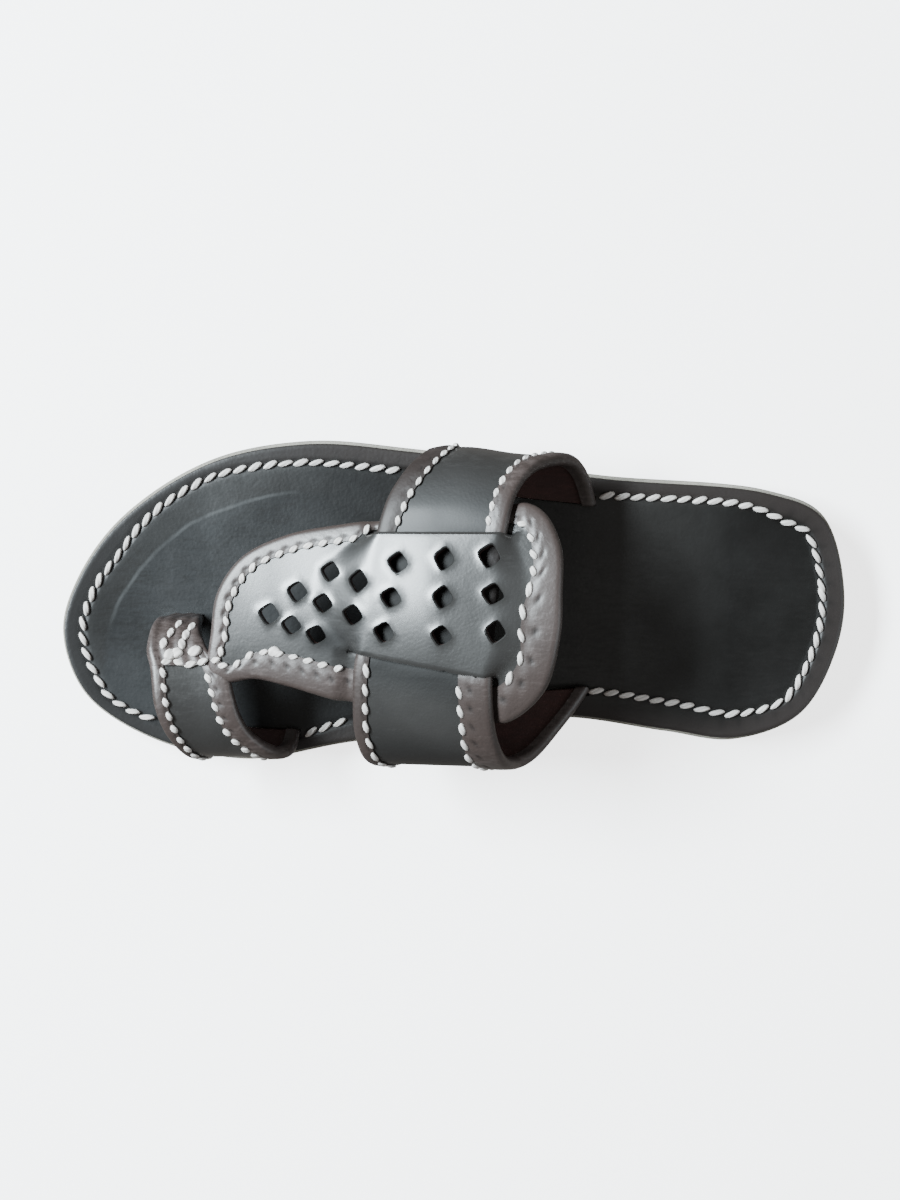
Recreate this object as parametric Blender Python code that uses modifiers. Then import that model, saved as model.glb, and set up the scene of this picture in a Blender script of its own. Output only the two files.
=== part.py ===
"""Right leather sandal: an outsole, an insole and a woven strap upper.

Blender 4.5, metres, +Z up. The toe points to -X, the heel to +X, the outer (lateral)
side of the foot to +Y and the inner (medial) side to -Y. The floor is z = 0, and the
origin lies on it under the middle of the shoe's length. Sizes below are in
millimetres, and MM turns them into metres where a mesh is made.
"""

from collections import namedtuple
from math import atan2, cos, exp, pi, radians, sin, sqrt

import bmesh
import bpy
from mathutils import Matrix, Vector

MM = 0.001

# Driving sizes
GAP = 0.3                    # between pieces that meet
SLIT_GAP = 0.45              # round a strap's end in its slit
INSOLE_THICKNESS = 3.5
INSOLE_INSET = 1.2           # how far the outsole shows past the insole
EDGE_ROUNDING = 0.7          # on the sole's edges
WALL = 2.6                   # leather and lining
BINDING_STEP = 0.8           # the folded edge binding stands this much proud
BINDING_RAMP = 0.6           # width of the step's slope
NARROW_BINDING_SHARE = 0.32  # of a narrow strap's width, at most, on each side
FOOT_RISE = 2.4              # a strap stands upright this far out of its slit
LAP = 0.4                    # how far a strap sinks into the leather it is sewn to

# The outsole's outline, anticlockwise from the heel tip along the lateral side
OutlinePoint = namedtuple("OutlinePoint", "x y")
SOLE_OUTLINE = [OutlinePoint(*row) for row in (
    (135, 4), (127, 30.5), (108, 38.8), (51, 44), (-15, 53.2), (-51, 55.8), (-85, 49),
    (-115, 29.5), (-130, 8.5), (-135, -10), (-127.5, -32), (-105, -48), (-73, -55.3),
    (-37, -49.5), (35, -40.2), (73, -44.8), (97, -47.7), (120, -39), (132, -18))]

# Height of the outsole's underside and of the insole's top along the shoe:
# toe spring, ball, arch, the slope in front of the built-in heel, and the heel seat
SoleRow = namedtuple("SoleRow", "x under top")
SOLE_ROWS = [SoleRow(*row) for row in (
    (-135, 7.5, 17.5), (-116, 3.2, 13.4), (-98, 0.6, 11.2), (-84, 0, 10.4),
    (-24, 0, 10.4), (6, 2.4, 11.4), (38, 3.0, 13.2), (46, 3.0, 13.9), (54, 0, 14.5),
    (84, 0, 15.7), (122, 0, 16.0), (135, 1.0, 16.4))]

# Crest of the upper's inner face above the insole, from the leaf's toe end to its heel end
CrestRow = namedtuple("CrestRow", "x height")
CREST_ROWS = [CrestRow(*row) for row in (
    (-105, 24), (-82, 26), (-60, 31), (-30, 40), (-5, 48), (20, 54), (50, 57))]

# Cross-section of an arch over the foot. Its steps run 0 to 1 from the lateral slit out
# to the bulge, 1 to 3 over the crest to the medial bulge, and 3 to 4 into that slit.
Arch = namedtuple("Arch", "lateral_bulge middle medial_bulge bulge_share")
INSTEP = Arch(lateral_bulge=48.0, middle=-2.0, medial_bulge=-51.0, bulge_share=0.43)
BIG_TOE = Arch(lateral_bulge=-7.5, middle=-28.0, medial_bulge=-49.5, bulge_share=0.45)
TOE_LOOP_CREST = 27.0

# A slit in the insole, from its toe end to its heel end, along the strap's inner face
Slit = namedtuple("Slit", "toe_x toe_y heel_x heel_y side")
INSTEP_LATERAL_SLIT = Slit(-10, 39.5, 48, 33.5, 1)
INSTEP_MEDIAL_SLIT = Slit(-22, -35.5, 46, -29.5, -1)
TAB_SLIT = Slit(-98, -7.5, -87, -7.5, 1)
TOE_LOOP_SLIT = Slit(-86, -43.2, -54, -44.8, -1)

# Where each strap's toe-side and heel-side edges run at each step of its arch, and the
# width of the binding on either side
StrapRow = namedtuple("StrapRow", "step toe_x heel_x toe_binding heel_binding")
INSTEP_ROWS = [StrapRow(*row) for row in (
    (0, -10, 48, 6.5, 6), (0.5, -8.5, 43.5, 8.5, 6), (1, -9, 36.5, 10, 6),
    (1.15, -11, 31, 9.8, 6), (1.3, -15, 25, 9, 6), (1.5, -21.5, 18.5, 7.4, 5.8),
    (1.75, -26.5, 15, 5.4, 6.5), (2, -29, 12.8, 4.8, 8.5), (2.25, -32.5, 11.6, 4.6, 10),
    (2.45, -32.8, 12.5, 4.6, 10), (2.65, -31, 15.4, 4.8, 11), (2.8, -28.6, 18.3, 5, 10.5),
    (3, -25.5, 22, 5.5, 9.5), (3.3, -24, 28, 6, 8), (3.6, -23, 34.5, 6, 7),
    (4, -22, 46, 6, 6))]
TOE_LOOP_ROWS = [StrapRow(*row) for row in (
    (0, -98, -87, 4, 4), (0.7, -99.5, -86.5, 4, 4), (1.3, -102, -85.5, 4, 5),
    (1.55, -102.5, -83, 4, 6), (1.75, -101, -77, 4, 7), (1.9, -100.4, -74.8, 4, 7),
    (2.05, -100, -73.6, 4, 7), (2.2, -99, -72.2, 4, 7), (2.4, -96.8, -69.2, 4, 7),
    (2.6, -93.8, -64.5, 4, 7), (2.8, -91, -60, 4, 7), (3, -88.5, -57, 4, 7),
    (3.4, -87, -55, 4, 6), (4, -86, -54, 4, 6))]

# How far the instep strap swells out at its lateral bulge, where, and over what length
Swell = namedtuple("Swell", "height x length step steps")
INSTEP_SWELL = Swell(height=2.8, x=3.0, length=14.0, step=1.0, steps=0.42)

# The leaf's outline, anticlockwise from its heel tip past its toe tip; after that it
# swells into the toe loop, round the corner of the window between the two
LEAF_OUTLINE = [OutlinePoint(*row) for row in (
    (33.5, 6), (33, 22.5), (25.5, 33.3), (-6, 30.8), (-36, 27.3), (-55, 23.7), (-69.8, 16.6),
    (-78.2, 5), (-80.3, -8), (-81, -21), (-76, -25.5), (-66, -24.6), (-55, -27),
    (-36, -31.5), (-3, -34.3), (16, -34.5), (28, -24.2), (33, -6))]
LEAF_TOE_TIP = 8             # its place in the outline
LEAF_SPINE_TOE = OutlinePoint(-62, -1)
LEAF_SPINE_HEEL = OutlinePoint(12, 3)
LEAF_SIDE_POINTS = 34
LEAF_INNER_RINGS = (0.3, 0.6, 1.0)   # share of the way from the binding to the spine

# Width of the leaf's binding on its lateral and on its medial side
BorderRow = namedtuple("BorderRow", "x lateral medial")
BORDER_ROWS = [BorderRow(*row) for row in (
    (-80, 5.4, 5.4), (-72, 5.4, 6.5), (-62, 5.4, 8.6), (-50, 5.4, 9.5), (-36, 5.4, 10),
    (14, 5.4, 12), (22, 6.5, 12.3), (30, 9, 12.3), (34, 10, 12.3))]

# The two slots of the leaf that the instep strap goes through, and the bridge between
SLOT_LATERAL_Y = 24.5
SLOT_MEDIAL_TOE = OutlinePoint(-28, -13.5)
SLOT_MEDIAL_HEEL = OutlinePoint(12, -19.5)
DIVE = 5.0                   # length over which the strap goes down into a slot
BRIDGE_TOE = -46.0
BRIDGE_HEEL = 21.0
BRIDGE_TOE_RISE = 14.0
BRIDGE_HEEL_RISE = 8.0
BRIDGE_ROOT = 1.0            # the bridge's inner face, above the leaf's inner face
BRIDGE_TOP = WALL + WALL - LAP

# Punched diamonds: a row across the leaf starts at its lateral hole
DiamondRow = namedtuple("DiamondRow", "x y count step_x step_y")
DIAMOND_ROWS = [DiamondRow(*row) for row in (
    (-60.5, -1.5, 1, 0, 0), (-51, 6, 2, -2, -11), (-39.8, 12.5, 3, -2.4, -10.2),
    (-29.7, 9.5, 2, -2, -10.4), (-16.6, 15.2, 3, -2.2, -10.6), (-2, 16.6, 3, -0.5, -11.5),
    (12, 17.6, 3, 0.8, -11.3))]
DIAMOND_SIDE = 5.3
DIAMOND_TURN = radians(33)

Finish = namedtuple("Finish", "colour roughness")
RUBBER = Finish((0.43, 0.40, 0.34, 1), 0.75)
BLACK_LEATHER = Finish((0.030, 0.027, 0.026, 1), 0.42)
STRAP_LEATHER = Finish((0.055, 0.050, 0.052, 1), 0.34)


# Curves and tables

def row_value(rows, column, x):
    """Smooth value of a table's column at x, which never swings past its rows."""
    stations = [row[0] for row in rows]
    values = [getattr(row, column) for row in rows]
    if x <= stations[0]:
        return values[0]
    if x >= stations[-1]:
        return values[-1]
    slopes = [(values[i + 1] - values[i]) / (stations[i + 1] - stations[i])
              for i in range(len(rows) - 1)]

    def tangent(i):
        if i in (0, len(rows) - 1):
            return slopes[0] if i == 0 else slopes[-1]
        before, after = slopes[i - 1], slopes[i]
        return 0.0 if before * after <= 0 else 2 * before * after / (before + after)

    i = max(k for k in range(len(rows) - 1) if stations[k] <= x)
    span = stations[i + 1] - stations[i]
    t = (x - stations[i]) / span
    return ((2 * t**3 - 3 * t**2 + 1) * values[i] + (t**3 - 2 * t**2 + t) * span * tangent(i)
            + (3 * t**2 - 2 * t**3) * values[i + 1] + (t**3 - t**2) * span * tangent(i + 1))


def closed_curve(points, steps):
    """Points along a smooth closed curve through the given ones."""
    corners = [Vector(point) for point in points]
    count = len(corners)
    path = []
    for i in range(count):
        a, b, c, d = (corners[(i + k) % count] for k in (-1, 0, 1, 2))
        ab, bc, cd = (sqrt((q - p).length) for p, q in ((a, b), (b, c), (c, d)))
        leave = (c - b) + bc * ((b - a) / ab - (c - a) / (ab + bc))
        arrive = (c - b) + bc * ((d - c) / cd - (d - b) / (bc + cd))
        for k in range(steps):
            t = k / steps
            path.append((2 * t**3 - 3 * t**2 + 1) * b + (t**3 - 2 * t**2 + t) * leave
                        + (3 * t**2 - 2 * t**3) * c + (t**3 - t**2) * arrive)
    return path


def centred(path):
    """The same path with the middle of its box at the origin."""
    middle = Vector([(min(p[axis] for p in path) + max(p[axis] for p in path)) / 2
                     for axis in (0, 1)])
    return [point - middle for point in path]


def inset(path, distance):
    """A closed anticlockwise path moved inwards."""
    moved = []
    for i, point in enumerate(path):
        along = (path[(i + 1) % len(path)] - path[i - 1]).normalized()
        moved.append(point + Vector((-along.y, along.x)) * distance)
    return moved


def even_points(path, count):
    """Points evenly spaced along an open path, both its ends among them."""
    reach = [0.0]
    for a, b in zip(path, path[1:]):
        reach.append(reach[-1] + (b - a).length)
    points, i = [], 0
    for k in range(count):
        wanted = reach[-1] * k / (count - 1)
        while i < len(path) - 2 and reach[i + 1] < wanted:
            i += 1
        points.append(path[i].lerp(path[i + 1], (wanted - reach[i]) / (reach[i + 1] - reach[i])))
    return points


def smooth_step(value, start, end):
    """0 before start, 1 after end, and a smooth rise between."""
    t = min(1.0, max(0.0, (value - start) / (end - start)))
    return t * t * (3 - 2 * t)


# The last: where the insole, the arches and the leaf lie

def insole_top(x):
    return row_value(SOLE_ROWS, "top", x)


def arch_point(arch, crest, lateral_base, medial_base, step):
    """Distance across and height above the insole of an arch's inner face at a step."""
    bulge_height = crest * arch.bulge_share
    if step < 1 or step > 3:
        base, bulge, share = ((lateral_base, arch.lateral_bulge, step) if step < 1
                              else (medial_base, arch.medial_bulge, 4 - step))
        across = base + (bulge - base) * (1 - (1 - share) ** 2)
        return across, FOOT_RISE + (bulge_height - FOOT_RISE) * share
    angle = (step - 1) * pi / 2
    bulge = arch.lateral_bulge if step < 2 else arch.medial_bulge
    across = arch.middle + abs(bulge - arch.middle) * cos(angle)
    return across, bulge_height + (crest - bulge_height) * sin(angle)


def leaf_height(x, y):
    """Height of the leaf's inner face, which is the top of the instep arch."""
    crest = row_value(CREST_ROWS, "height", x)
    bulge_height = crest * INSTEP.bulge_share
    bulge = INSTEP.lateral_bulge if y > INSTEP.middle else INSTEP.medial_bulge
    share = (y - INSTEP.middle) / (bulge - INSTEP.middle)
    return insole_top(x) + bulge_height + (crest - bulge_height) * sqrt(1 - share**2)


def leaf_normal(x, y):
    step = 0.5
    rise_x = (leaf_height(x + step, y) - leaf_height(x - step, y)) / (2 * step)
    rise_y = (leaf_height(x, y + step) - leaf_height(x, y - step)) / (2 * step)
    return Vector((-rise_x, -rise_y, 1)).normalized()


def leaf_point(x, y, level):
    """A point over the leaf's inner face, level millimetres off it."""
    return Vector((x, y, leaf_height(x, y))) + leaf_normal(x, y) * level


def medial_slot_y(x):
    share = (x - SLOT_MEDIAL_TOE.x) / (SLOT_MEDIAL_HEEL.x - SLOT_MEDIAL_TOE.x)
    return SLOT_MEDIAL_TOE.y + (SLOT_MEDIAL_HEEL.y - SLOT_MEDIAL_TOE.y) * share


def leaf_border(x, y):
    """Width of the leaf's binding where its edge passes a point."""
    lateral = row_value(BORDER_ROWS, "lateral", x)
    medial = row_value(BORDER_ROWS, "medial", x)
    return medial + (lateral - medial) * smooth_step(y, -4, 16)


def instep_swell(x, step):
    """How far the instep strap stands out sideways."""
    return (INSTEP_SWELL.height * exp(-((x - INSTEP_SWELL.x) / INSTEP_SWELL.length) ** 2)
            * exp(-((step - INSTEP_SWELL.step) / INSTEP_SWELL.steps) ** 2))


def strap_level(x, y, step):
    """The instep strap lies on the leaf's borders and dives under the bridge."""
    on_leaf = smooth_step(step, 1.05, 1.4) * (1 - smooth_step(step, 2.6, 2.95))
    outside = (smooth_step(y, SLOT_LATERAL_Y - DIVE / 2, SLOT_LATERAL_Y + DIVE / 2)
               + 1 - smooth_step(y, medial_slot_y(x) - DIVE / 2, medial_slot_y(x) + DIVE / 2))
    over = WALL + BINDING_STEP - LAP
    return on_leaf * (LAP + (over - LAP) * outside)


# Meshes

def new_object(name, mesh_data, finish, collection):
    material = bpy.data.materials.get(name) or bpy.data.materials.new(name)
    material.use_nodes = True
    shader = material.node_tree.nodes["Principled BSDF"]
    shader.inputs["Base Color"].default_value = finish.colour
    shader.inputs["Roughness"].default_value = finish.roughness
    mesh = bpy.data.meshes.new(name)
    mesh_data.to_mesh(mesh)
    mesh_data.free()
    mesh.materials.append(material)
    obj = bpy.data.objects.new(name, mesh)
    collection.objects.link(obj)
    return obj


def as_cutter(obj):
    """Cutters and pieces that are joined to another one aren't built by themselves."""
    obj.hide_render = True
    obj.display_type = "WIRE"
    return obj


def boolean(obj, other, operation):
    modifier = obj.modifiers.new(operation.title() + " " + other.name, "BOOLEAN")
    modifier.operation = operation
    modifier.object = other
    modifier.solver = "EXACT"


def solidify(obj, thickness, group=None, thinnest=1.0):
    """A wall outside an open surface; a group's weights thin it down to its thinnest."""
    modifier = obj.modifiers.new("Wall", "SOLIDIFY")
    modifier.thickness = thickness * MM
    modifier.offset = 1.0
    modifier.use_even_offset = True
    if group:
        modifier.vertex_group = group
        modifier.thickness_vertex_group = thinnest


def surface(name, grid, weights, rings, finish, collection):
    """An open surface through rows of points, or through rings that end on a spine.

    Each point has a weight, for the wall that is made from the surface.
    """
    mesh_data = bmesh.new()
    wall = mesh_data.verts.layers.deform.verify()
    rows = [[mesh_data.verts.new(point * MM) for point in row] for row in grid]
    for vertices, row in zip(rows, weights):
        for vertex, weight in zip(vertices, row):
            vertex[wall][0] = weight
    count = len(rows[0])
    for lower, upper in zip(rows, rows[1:]):
        for i in range(count if rings else count - 1):
            k = (i + 1) % count
            corners = (lower[i], lower[k], upper[k], upper[i])
            mesh_data.faces.new(corners if rings else corners[::-1])
    bmesh.ops.remove_doubles(mesh_data, verts=mesh_data.verts, dist=0.01 * MM)
    obj = new_object(name, mesh_data, finish, collection)
    obj.vertex_groups.new(name="thickness")
    return obj


# Sole

def sole_slab(name, under, top, inset_by, finish, collection):
    """A slab with the sole's outline between two heights that change along the shoe."""
    outline = inset(centred(closed_curve(SOLE_OUTLINE, 16)), inset_by)
    toe, heel = min(p.x for p in outline), max(p.x for p in outline)
    middle, half = (toe + heel) / 2, (heel - toe) / 2
    stations, blunt = 42, 0.08

    def edges_at(x):
        crossings = []
        for a, b in zip(outline, outline[1:] + outline[:1]):
            if (a.x - x) * (b.x - x) <= 0 and a.x != b.x:
                crossings.append(a.y + (b.y - a.y) * (x - a.x) / (b.x - a.x))
        return min(crossings), max(crossings)

    mesh_data = bmesh.new()
    rings = []
    for k in range(stations + 1):
        turn = cos(blunt + (pi - 2 * blunt) * k / stations)
        medial, lateral = edges_at(middle - half * turn)
        x = middle - half * turn / cos(blunt)
        rings.append([mesh_data.verts.new(Vector(corner) * MM) for corner in (
            (x, medial, under(x)), (x, lateral, under(x)),
            (x, lateral, top(x)), (x, medial, top(x)))])
    for ring, after in zip(rings, rings[1:]):
        for i in range(4):
            k = (i + 1) % 4
            mesh_data.faces.new((ring[i], after[i], after[k], ring[k]))
    mesh_data.faces.new(rings[0])
    mesh_data.faces.new(reversed(rings[-1]))
    bmesh.ops.recalc_face_normals(mesh_data, faces=mesh_data.faces)
    obj = new_object(name, mesh_data, finish, collection)
    rounding = obj.modifiers.new("Edge rounding", "BEVEL")
    rounding.width = EDGE_ROUNDING * MM
    rounding.segments = 2
    rounding.angle_limit = radians(50)
    return obj


def slit_cutter(name, slit, collection):
    """A box round a strap's end, clear of it on every side."""
    along = Vector((slit.heel_x - slit.toe_x, slit.heel_y - slit.toe_y, 0))
    outwards = Vector((-along.y, along.x, 0)).normalized() * slit.side
    wall = WALL + BINDING_STEP
    centre = Vector(((slit.toe_x + slit.heel_x) / 2, (slit.toe_y + slit.heel_y) / 2, 0))
    centre += outwards * wall / 2
    centre.z = insole_top(centre.x) - INSOLE_THICKNESS / 2
    size = Vector((along.length + 2 * SLIT_GAP, wall + 2 * SLIT_GAP, 4 * INSOLE_THICKNESS))
    mesh_data = bmesh.new()
    bmesh.ops.create_cube(mesh_data, size=1.0, matrix=Matrix.Diagonal((*(size * MM), 1)))
    turn = Matrix.Rotation(atan2(along.y, along.x), 4, "Z")
    bmesh.ops.transform(mesh_data, verts=mesh_data.verts,
                        matrix=Matrix.Translation(centre * MM) @ turn)
    return as_cutter(new_object(name, mesh_data, BLACK_LEATHER, collection))


def make_outsole(collection):
    return sole_slab(
        "outsole", lambda x: row_value(SOLE_ROWS, "under", x),
        lambda x: insole_top(x) - INSOLE_THICKNESS - GAP, 0.0, RUBBER, collection)


def make_insole(collection, cutters):
    insole = sole_slab("insole", lambda x: insole_top(x) - INSOLE_THICKNESS, insole_top,
                       INSOLE_INSET, BLACK_LEATHER, collection)
    slits = {"instep_lateral_slit": INSTEP_LATERAL_SLIT, "instep_medial_slit": INSTEP_MEDIAL_SLIT,
             "tab_slit": TAB_SLIT, "toe_loop_slit": TOE_LOOP_SLIT}
    for name, slit in slits.items():
        boolean(insole, slit_cutter(name, slit, cutters), "DIFFERENCE")
    return insole


# Upper

def binding_shares(width, toe_binding, heel_binding):
    """Places across a strap: its edges, both slopes of the binding's step, the middle."""
    toe = min(toe_binding / width, NARROW_BINDING_SHARE)
    heel = min(heel_binding / width, NARROW_BINDING_SHARE)
    ramp = BINDING_RAMP / width
    return [(0, 1), (toe, 1), (toe + ramp, 0), (0.5, 0),
            (1 - heel - ramp, 0), (1 - heel, 1), (1, 1)]


def make_strap(name, arch, rows, slits, steps, crest_at, level_at, swell_at, collection):
    """A strap over an arch, with both ends going straight down into their slits."""
    grid, weights = [], []
    for step in steps:
        toe_x, heel_x, toe_binding, heel_binding = (
            row_value(rows, column, step)
            for column in ("toe_x", "heel_x", "toe_binding", "heel_binding"))
        points, row_weights = [], []
        for share, weight in binding_shares(heel_x - toe_x, toe_binding, heel_binding):
            x = toe_x + (heel_x - toe_x) * share
            bases = [slit.toe_y + (slit.heel_y - slit.toe_y) * share for slit in slits]
            across, height = arch_point(arch, crest_at(x), *bases, step)
            point = Vector((x, across, insole_top(x) + height))
            if 1 < step < 3:
                point = lift(arch, point, level_at(x, across, step), step)
            point.y += swell_at(x, step)
            points.append(point)
            row_weights.append(weight)
        if step == steps[0] or step == steps[-1]:
            lowest = [Vector((point.x, point.y, insole_top(point.x) - INSOLE_THICKNESS))
                      for point in points]
            if step == steps[0]:
                grid.append(lowest)
                grid.append(points)
            else:
                grid.append(points)
                grid.append(lowest)
            weights += [row_weights, row_weights]
        else:
            grid.append(points)
            weights.append(row_weights)
    obj = surface(name, grid, weights, False, STRAP_LEATHER, collection)
    solidify(obj, WALL + BINDING_STEP, "thickness", WALL / (WALL + BINDING_STEP))
    return obj


def lift(arch, point, level, step):
    """Move a point off the arch along the arch's own normal."""
    angle = (step - 1) * pi / 2
    return point + Vector((0, cos(angle), sin(angle))) * level


def even_steps(count, extra=()):
    """Steps from slit to slit, with extra ones where the strap dives."""
    steps = {round(4 * k / count, 4) for k in range(count + 1)} | set(extra)
    return sorted(steps)


def make_instep_strap(collection):
    dives = [1.6, 1.64, 1.68, 1.72, 2.17, 2.21, 2.25, 2.29, 2.33]
    return make_strap("instep_strap", INSTEP, INSTEP_ROWS,
                      (INSTEP_LATERAL_SLIT, INSTEP_MEDIAL_SLIT), even_steps(28, dives),
                      lambda x: row_value(CREST_ROWS, "height", x), strap_level,
                      instep_swell, collection)


def make_toe_loop(collection):
    return make_strap("toe_loop", BIG_TOE, TOE_LOOP_ROWS, (TAB_SLIT, TOE_LOOP_SLIT),
                      even_steps(20), lambda x: TOE_LOOP_CREST, lambda x, y, step: 0.0,
                      lambda x, step: 0.0, collection)


def make_leaf(collection):
    """Rings of the leaf's outline, from its edge through the binding's step to its spine."""
    smoothing = 12
    outline = closed_curve(LEAF_OUTLINE, smoothing)
    toe_tip = LEAF_TOE_TIP * smoothing
    lateral = even_points(outline[:toe_tip + 1], LEAF_SIDE_POINTS)
    medial = even_points(outline[toe_tip:] + outline[:1], LEAF_SIDE_POINTS)
    rim = lateral + medial[1:-1]
    spine = []
    for a, b in zip(lateral, reversed(medial)):
        along = ((a.x + b.x) / 2 - LEAF_SPINE_TOE.x) / (LEAF_SPINE_HEEL.x - LEAF_SPINE_TOE.x)
        spine.append(Vector(LEAF_SPINE_TOE).lerp(Vector(LEAF_SPINE_HEEL), min(1, max(0, along))))
    spine += spine[-2:0:-1]

    def ring(band, extra, share):
        """Points a share of the binding's width, and some more, inside the rim."""
        points = []
        for i, (point, middle) in enumerate(zip(rim, spine)):
            width = leaf_border(point.x, point.y) * band + extra
            along = (rim[(i + 1) % len(rim)] - rim[i - 1]).normalized()
            inwards = (middle - point).normalized()
            squareness = max(0.7, Vector((-along.y, along.x)).dot(inwards))
            points.append((point + inwards * width / squareness).lerp(middle, share))
        return points

    flat_rings = [rim, ring(1, 0, 0), ring(1, BINDING_RAMP, 0)]
    flat_rings += [ring(1, BINDING_RAMP, share) for share in LEAF_INNER_RINGS]
    ring_weights = [1, 1] + [0] * (len(flat_rings) - 2)
    grid = [[leaf_point(p.x, p.y, 0) for p in flat_ring] for flat_ring in flat_rings]
    weights = [[weight] * len(rim) for weight in ring_weights]
    leaf = surface("upper", grid, weights, True, STRAP_LEATHER, collection)
    solidify(leaf, WALL + BINDING_STEP, "thickness", WALL / (WALL + BINDING_STEP))
    return leaf


def make_bridge(collection):
    """The panel between the slots, pushed up by the strap that passes below it."""
    columns, across = 18, 8
    thickness = BRIDGE_TOP - BRIDGE_ROOT
    sunk = (WALL - LAP - BRIDGE_ROOT) / thickness
    grid, weights = [], []
    for k in range(columns + 1):
        x = BRIDGE_TOE + (BRIDGE_HEEL - BRIDGE_TOE) * k / columns
        low, high = medial_slot_y(x), SLOT_LATERAL_Y
        points, row_weights = [], []
        for i in range(across + 1):
            y = low + (high - low) * i / across
            crown = 1 - (2 * i / across - 1) ** 2
            toe_start = BRIDGE_TOE + (1 - crown) * BRIDGE_TOE_RISE / 2
            rise = (smooth_step(x, toe_start, toe_start + BRIDGE_TOE_RISE)
                    * (1 - smooth_step(x, BRIDGE_HEEL - BRIDGE_HEEL_RISE, BRIDGE_HEEL)))
            points.append(leaf_point(x, y, BRIDGE_ROOT))
            row_weights.append(rise)
        grid.append(points)
        weights.append(row_weights)
    bridge = surface("bridge", grid, weights, False, STRAP_LEATHER, collection)
    solidify(bridge, thickness, "thickness", sunk)
    return as_cutter(bridge)


def make_diamonds(collection):
    """All punches of the leaf, each square to it."""
    mesh_data = bmesh.new()
    radius, depth = DIAMOND_SIDE / sqrt(2), 14.0
    for row in DIAMOND_ROWS:
        for k in range(row.count):
            x, y = row.x + k * row.step_x, row.y + k * row.step_y
            place = Matrix.Translation(leaf_point(x, y, WALL) * MM)
            lean = leaf_normal(x, y).to_track_quat("Z", "Y").to_matrix().to_4x4()
            turn = Matrix.Rotation(DIAMOND_TURN, 4, "Z")
            bmesh.ops.create_cone(mesh_data, cap_ends=True, segments=4, radius1=radius * MM,
                                  radius2=radius * MM, depth=depth * MM,
                                  matrix=place @ lean @ turn)
    return as_cutter(new_object("diamonds", mesh_data, STRAP_LEATHER, collection))


def make_upper(collection, cutters):
    """The leaf and its bridge, punched, then joined to the strap and the toe loop."""
    upper = make_leaf(collection)
    boolean(upper, make_bridge(cutters), "UNION")
    boolean(upper, make_diamonds(cutters), "DIFFERENCE")
    boolean(upper, as_cutter(make_instep_strap(cutters)), "UNION")
    boolean(upper, as_cutter(make_toe_loop(cutters)), "UNION")
    return upper


def main():
    for obj in list(bpy.data.objects):
        bpy.data.objects.remove(obj, do_unlink=True)
    sandal = bpy.data.collections.new("leather_sandal")
    cutters = bpy.data.collections.new("cutters")
    for collection in (sandal, cutters):
        bpy.context.scene.collection.children.link(collection)
    make_outsole(sandal)
    make_insole(sandal, cutters)
    make_upper(sandal, cutters)


main()
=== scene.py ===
"""Dresses the leather sandal: a stitched insole on a rubber sole under a woven, bound upper.

Sizes in the tables are millimetres in the sandal's own frame, and MM turns them into
metres. The toe points to -X, the heel to +X, the outer (lateral) side of the foot to +Y,
and the floor is z = 0.
"""

from collections import namedtuple
from math import ceil, cos, exp, pi, radians, sin, sqrt
from random import Random

import bpy
from mathutils import Matrix, Vector
from mathutils.geometry import delaunay_2d_cdt


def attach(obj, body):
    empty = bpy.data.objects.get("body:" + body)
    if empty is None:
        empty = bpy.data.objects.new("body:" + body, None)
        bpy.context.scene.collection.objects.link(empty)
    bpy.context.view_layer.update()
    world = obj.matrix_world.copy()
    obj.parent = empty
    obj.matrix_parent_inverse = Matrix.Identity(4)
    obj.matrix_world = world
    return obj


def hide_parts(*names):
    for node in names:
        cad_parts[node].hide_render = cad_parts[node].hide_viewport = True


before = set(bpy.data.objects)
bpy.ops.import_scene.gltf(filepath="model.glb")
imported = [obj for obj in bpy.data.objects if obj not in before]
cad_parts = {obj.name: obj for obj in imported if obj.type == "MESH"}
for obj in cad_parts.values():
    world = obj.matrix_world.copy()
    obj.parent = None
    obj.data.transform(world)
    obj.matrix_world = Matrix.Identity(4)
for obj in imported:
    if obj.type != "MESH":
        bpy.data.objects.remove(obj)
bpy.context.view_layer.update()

bl_info = {
    "name": "Leather Sandal",
    "version": (1, 0, 0),
    "blender": (4, 5, 0),
    "location": "3D View > Sidebar > Sandal",
    "description": "Makes a woven leather sandal with bound edges, piece by piece",
    "category": "Mesh",
}

MM = 0.001


def table(columns, *rows):
    """Rows of numbers whose columns have names."""
    row_type = namedtuple("Row", columns)
    return [row_type(*row) for row in rows]


PlanPoint = namedtuple("PlanPoint", "x y")

# The sole's outline, anticlockwise from the heel tip along the lateral side
SOLE_OUTLINE = table(
    "x y",
    (135, 4), (127, 30.5), (108, 38.8), (51, 44), (-15, 53.2), (-51, 55.8), (-85, 49),
    (-115, 29.5), (-130, 8.5), (-135, -10), (-127.5, -32), (-105, -48), (-73, -55.3),
    (-37, -49.5), (35, -40.2), (73, -44.8), (97, -47.7), (120, -39), (132, -18))
SOLE_TOE_TIP = 9
SOLE_SPINE = (PlanPoint(-98, -6), PlanPoint(96, -4))

# Heights of the sole's underside and of the insole's top along the shoe
SOLE_ROWS = table(
    "x under top",
    (-135, 7.5, 17.5), (-116, 3.2, 13.4), (-98, 0.6, 11.2), (-84, 0, 10.4),
    (-24, 0, 10.4), (6, 2.4, 11.4), (38, 3.0, 13.2), (46, 3.0, 13.9), (54, 0, 14.5),
    (84, 0, 15.7), (122, 0, 16.0), (135, 1.0, 16.4))
INSOLE_THICKNESS = 3.5
INSOLE_INSET = 1.2

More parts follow.
